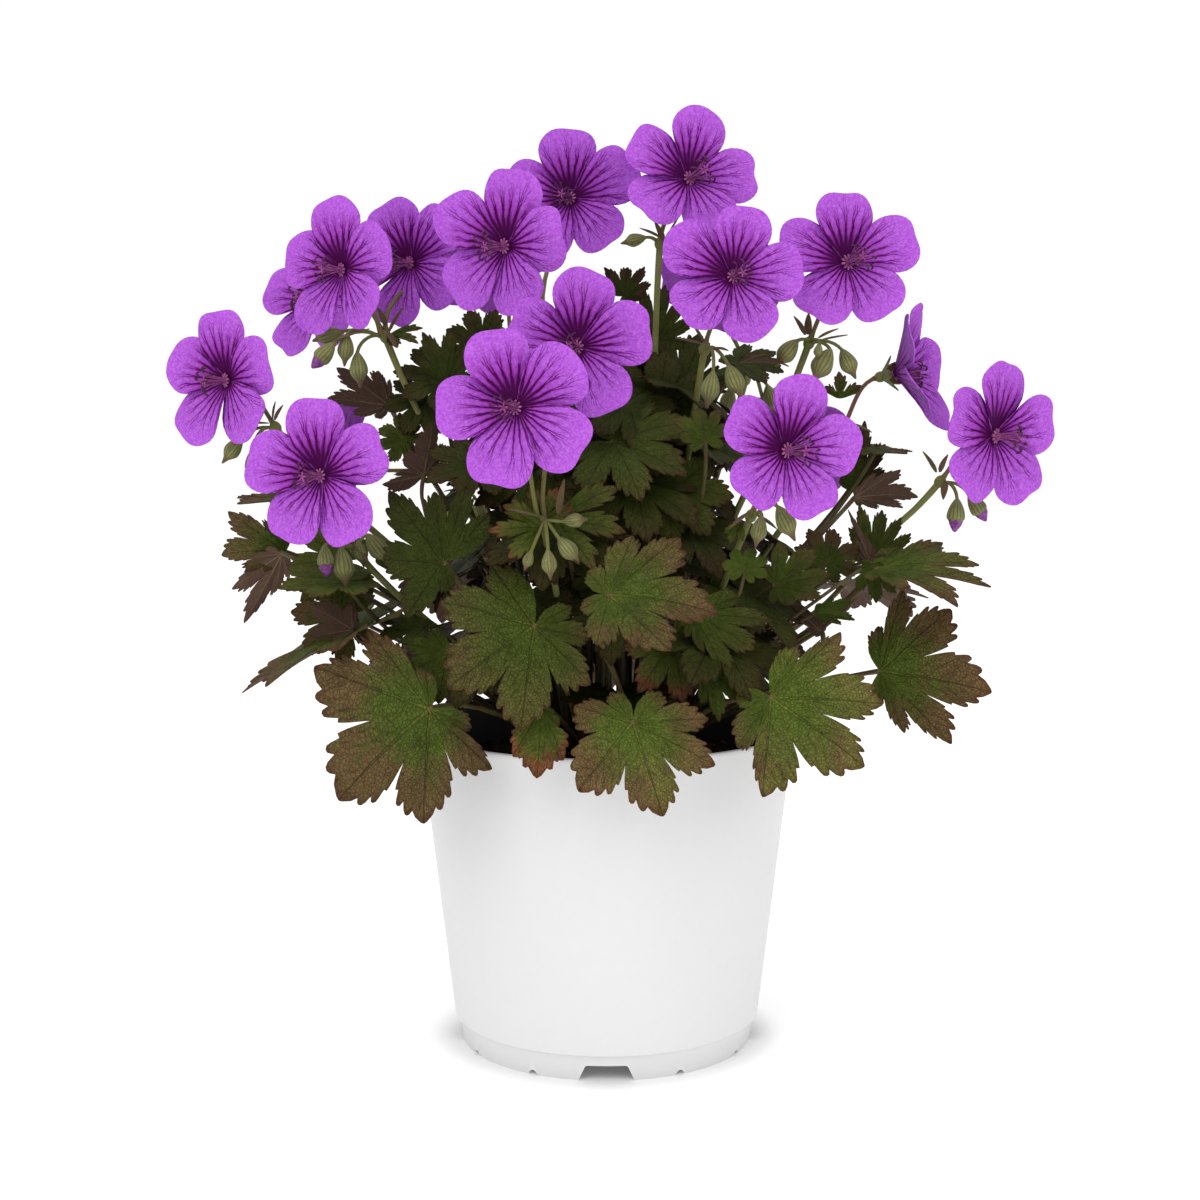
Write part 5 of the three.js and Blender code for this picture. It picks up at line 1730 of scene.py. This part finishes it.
class GERANIUM_OT_leaves(Operator):
    """Builds the cut leaves with their stalks, and the leaves in the shade between them"""
    bl_idname = "geranium.leaves"
    bl_label = "Leaves"

    def execute(self, context):
        flat = flat_blade("blade", 8)
        small = flat_blade("blade_small", 6, 1)
        coarse = flat_blade("blade_coarse", 4, 1)
        lobed = flat_blade("blade_lobed", 6, 2, 1, FORK_LEAF_EDGE, FORK_LEAF_HEEL)
        for name, seat, rng, changes in each_leaf(LEAVES, "leaf_", LEAF_SEED):
            make_leaf(flat, name + "_blade", *seat, rng, (name,), **changes)
        # Painted shade: the small leaves' stalks are a little darker.
        for name, seat, rng, changes in each_leaf(SMALL_LEAVES, "leaf_small_", SMALL_LEAF_SEED):
            make_leaf(small, name, *seat, rng, stalk_painted_light=0.7, **changes)
        for name, seat, rng, changes in each_leaf(FORK_LEAVES, "fork_leaf_", FORK_LEAF_SEED):
            blade, _ = make_blade(lobed, name, *seat, rng, **{**FORK_LEAF_SHAPE, **changes})
            keep(blade, "leaf_blade")
        rng = random.Random(INNER_LEAF_SEED)
        for number, seat in enumerate(filler_leaves(rng, settings().leaf.fillers)):
            # Painted shade: the inner leaves and their stalks are given a low light level.
            dark = (0.6, 0.42 + 0.1 * rng.random(), 0)
            make_leaf(coarse, f"leaf_inner_{number:02d}", *seat, rng, tone=dark, stalk_painted_light=0.5)
        remove(flat, small, coarse, lobed)
        return {"FINISHED"}


KNUCKLE_RADII = (1.9, 1.9, 2.3)  # of the swelling at a fork
KNUCKLE_DROP = 1.9  # how far its middle lies below the fork
FORK_RED = (5, 40)  # a stem turns red from this far below its fork to this far above


class GERANIUM_OT_stems(Operator):
    """Builds the flowering stems with their swollen forks"""
    bl_idname = "geranium.stems"
    bl_label = "Flowering stems"

    def execute(self, context):
        radius = settings().stem.scape / MM
        for name, (fork, swing, _) in SCAPES.items():
            start, out = root_of(fork, swing)
            top, arriving = Vector(fork), fork_direction(fork)
            handles = stem_handles(start, out, top - arriving * 0.6, arriving)
            scape = stems(name + "_stem", [(handles, radius, 1.7, 1.05)], 2, 8)
            bpy.ops.mesh.primitive_uv_sphere_add(segments=18, ring_count=10, radius=1)
            knuckle = named("knuckle")
            set_points(knuckle, points_of(knuckle) * KNUCKLE_RADII * MM)
            move_points(knuckle, frame_at((top - arriving * KNUCKLE_DROP) * MM, (0, 1, 0), arriving))
            scape = joined([scape, shade_smooth(knuckle)], name + "_stem")
            redden(scape, fork[2] - FORK_RED[0], fork[2] + FORK_RED[1])
            keep(give(scape, stem_green()), "stem_green", name)
        return {"FINISHED"}


class GERANIUM_OT_flowers(Operator):
    """Builds each flower's petals, stamens, calyx and pedicel"""
    bl_idname = "geranium.flowers"
    bl_label = "Flowers"

    def execute(self, context):
        petal, stamens, calyx = flat_petal(), make_stamens(), make_calyx()
        seed = FLOWER_SEED
        for fork, _, flowers in SCAPES.values():
            for name, (throat, face, roll) in flowers.items():
                seed += 1
                rng = random.Random(seed)
                looking = Vector(face).normalized()
                matrix = frame_at(metres(throat), UP, face) @ turned(roll)
                funnel = FUNNELS.get(name, 0)
                make_corolla(petal, name, matrix, rng, roll, funnel)
                inner = copy_of(stamens, name + "_stamens")
                move_points(inner, self.lean(throat, looking) @ matrix @ self.spin(rng))
                keep(inner, "petal_violet", name)
                outer = make_calyx(funnel) if funnel else copy_of(calyx, name)
                outer.name = name + "_calyx"
                keep(move_points(outer, matrix), "bud_green", name)
                start = pedicel_start(fork, throat, len(flowers))
                self.add_pedicel(name, start, fork_direction(fork), Vector(throat), looking)
        remove(petal, stamens, calyx)
        return {"FINISHED"}

    def spin(self, rng):
        return Matrix.Rotation(rng.uniform(0, 6), 4, "Z") @ Matrix.Scale(rng.uniform(0.9, 1.05), 4)

    def lean(self, throat, looking):
        """Leans the stamens away from the plant's middle, about the throat."""
        outwards = Vector((math.copysign(1, throat[0]), 0, -0.2))
        turn = turned(STAMEN_LEAN, looking.cross(outwards))
        return Matrix.Translation(metres(throat)) @ turn @ Matrix.Translation(-metres(throat))

    def add_pedicel(self, name, start, leaving, throat, looking):
        """The flower's own stalk, from just inside the fork to its calyx."""
        handles = stem_handles(start - leaving * 1.2, leaving, throat - looking * CALYX_DEPTH, looking)
        radius = settings().stem.pedicel / MM
        pedicel = stems(name + "_pedicel", [(handles, radius, 1.5, 1.6)], 2, 7)
        set_tone(pedicel, (PEDICEL_RED.get(name, USUAL_RED), 1, 0))
        keep(give(pedicel, stem_green()), "stem_green", name)


class GERANIUM_OT_buds(Operator):
    """Builds the clusters of nodding buds"""
    bl_idname = "geranium.buds"
    bl_label = "Buds"

    def execute(self, context):
        rng = random.Random(BUD_SEED)
        for name, (scape, buds) in BUD_CLUSTERS.items():
            make_cluster(name + "_heads", SCAPES[scape][0], buds, rng, (name,))
        for name, (scape, buds) in SMALL_BUD_CLUSTERS.items():
            make_cluster(name, SCAPES[scape][0], buds, rng)
        for scape, feet_and_tips in BRACTS.items():
            make_bracts(scape + "_bracts", feet_and_tips)
        return {"FINISHED"}


NEAR_GLOW = 0.36  # the floor's own light beside the pot and far from it, which keeps it even
FAR_GLOW = 0.42
SHADE_UNDER_POT = 0.26
WORLD_LIGHT = 0.65
WORLD_SEEN = 0.38  # what the camera sees of it beyond that
LAMPS = (  # name, place, length of its sides and power
    ("key", (-0.7, -1.3, 1.5), 1.4, 11.0),
    ("fill", (1.2, -1.2, 1.2), 1.4, 5.0),
    ("top", (0.0, 0.4, 1.8), 1.2, 5.0),
)
LAMP_AIM = Vector((0, 0, 0.18))
SENSOR_WIDTH = 36


class GERANIUM_OT_stage(Operator):
    """Sets up the pale floor, the soft studio light and the camera"""
    bl_idname = "geranium.stage"
    bl_label = "Stage"

    def execute(self, context):
        bpy.ops.mesh.primitive_plane_add(size=12)
        floor = named("floor")
        paint = new_finish("floor", 0.6, Emission_Strength=1.0)
        east, north, _ = paint.node("SeparateXYZ", {0: paint.object_place()}).outputs
        away = paint.distance(east, north)
        glow = paint.ramp(away, 0.15, 1.6, NEAR_GLOW, FAR_GLOW)
        # Painted shadow: the floor's glow dips in a ring just round the pot's foot.
        glow = paint.minus(glow, paint.ramp(away, 0.050, 0.064, SHADE_UNDER_POT, 0.0))
        grain = paint.noise(paint.object_place(), 3.0)
        paint.join(paint.shader["Emission Color"], paint.grey(glow))
        paint.join(paint.shader["Base Color"], paint.blend(grain, (0.9, 0.9, 0.9), (0.92, 0.92, 0.92)))
        give(floor, paint.material)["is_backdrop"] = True
        self.light_world()
        for name, place, side, power in LAMPS:
            bpy.ops.object.light_add(type="AREA", location=place)
            lamp = named(name + "_light")
            lamp.data.size = side
            lamp.data.energy = power
            lamp.rotation_euler = (LAMP_AIM - Vector(place)).to_track_quat("-Z", "Y").to_euler()
        self.place_camera()
        bpy.context.scene.view_settings.view_transform = "Standard"
        return {"FINISHED"}

    def light_world(self):
        world = bpy.data.worlds.new("studio")
        bpy.context.scene.world = world
        world.use_nodes = True
        paint = Paint(world.node_tree)
        background = world.node_tree.nodes["Background"].inputs
        seen = paint.node("LightPath").outputs["Is Camera Ray"]
        paint.join(background["Color"], (1, 1, 1))
        paint.join(background["Strength"], paint.scaled(seen, WORLD_SEEN, WORLD_LIGHT))

    def place_camera(self):
        distance, height, pitch = 0.700, 0.2374, 0.123
        focal_pixels, frame_pixels, aside_pixels = 2083.1, 1200, 6.5
        bpy.ops.object.camera_add(location=(0, -distance, height), rotation=(math.pi / 2 - pitch, 0, 0))
        camera = named("camera")
        camera.data.sensor_width = SENSOR_WIDTH
        camera.data.lens = SENSOR_WIDTH * focal_pixels / frame_pixels
        camera.data.shift_x = -aside_pixels / frame_pixels
        camera.data.clip_start = 0.01
        bpy.context.scene.camera = camera


class GERANIUM_PT_steps(Panel):
    """Lists the steps that build the potted geranium"""
    bl_idname = "GERANIUM_PT_steps"
    bl_label = "Potted geranium"
    bl_space_type = "VIEW_3D"
    bl_region_type = "UI"
    bl_category = "Geranium"

    def draw(self, context):
        for part in ("pot", "leaf", "flower", "stem"):
            group = getattr(settings(), part)
            box = self.layout.box()
            box.label(text=part.title())
            for key in group.bl_rna.properties.keys():
                if key not in ("rna_type", "name"):
                    box.prop(group, key)
        for step in STEPS:
            self.layout.operator(step.bl_idname)


STEPS = (GERANIUM_OT_pot, GERANIUM_OT_soil, GERANIUM_OT_leaves, GERANIUM_OT_stems, GERANIUM_OT_flowers,
         GERANIUM_OT_buds, GERANIUM_OT_stage)
CLASSES = (PotSettings, LeafSettings, FlowerSettings, StemSettings, GeraniumSettings, *STEPS,
           GERANIUM_PT_steps)


def register():
    for item in CLASSES:
        bpy.utils.register_class(item)
    bpy.types.Scene.geranium = PointerProperty(type=GeraniumSettings)


def unregister():
    del bpy.types.Scene.geranium
    for item in reversed(CLASSES):
        bpy.utils.unregister_class(item)


def corners(box):
    return [list(corner) for corner in box]


def main():
    register()
    bpy.ops.geranium.pot()
    bpy.ops.geranium.soil()
    bpy.ops.geranium.leaves()
    bpy.ops.geranium.stems()
    bpy.ops.geranium.flowers()
    bpy.ops.geranium.buds()
    bpy.ops.geranium.stage()
    {"cad": corners(CAD_BOX), "visual": corners(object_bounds())}


if __name__ == "__main__":
    main()
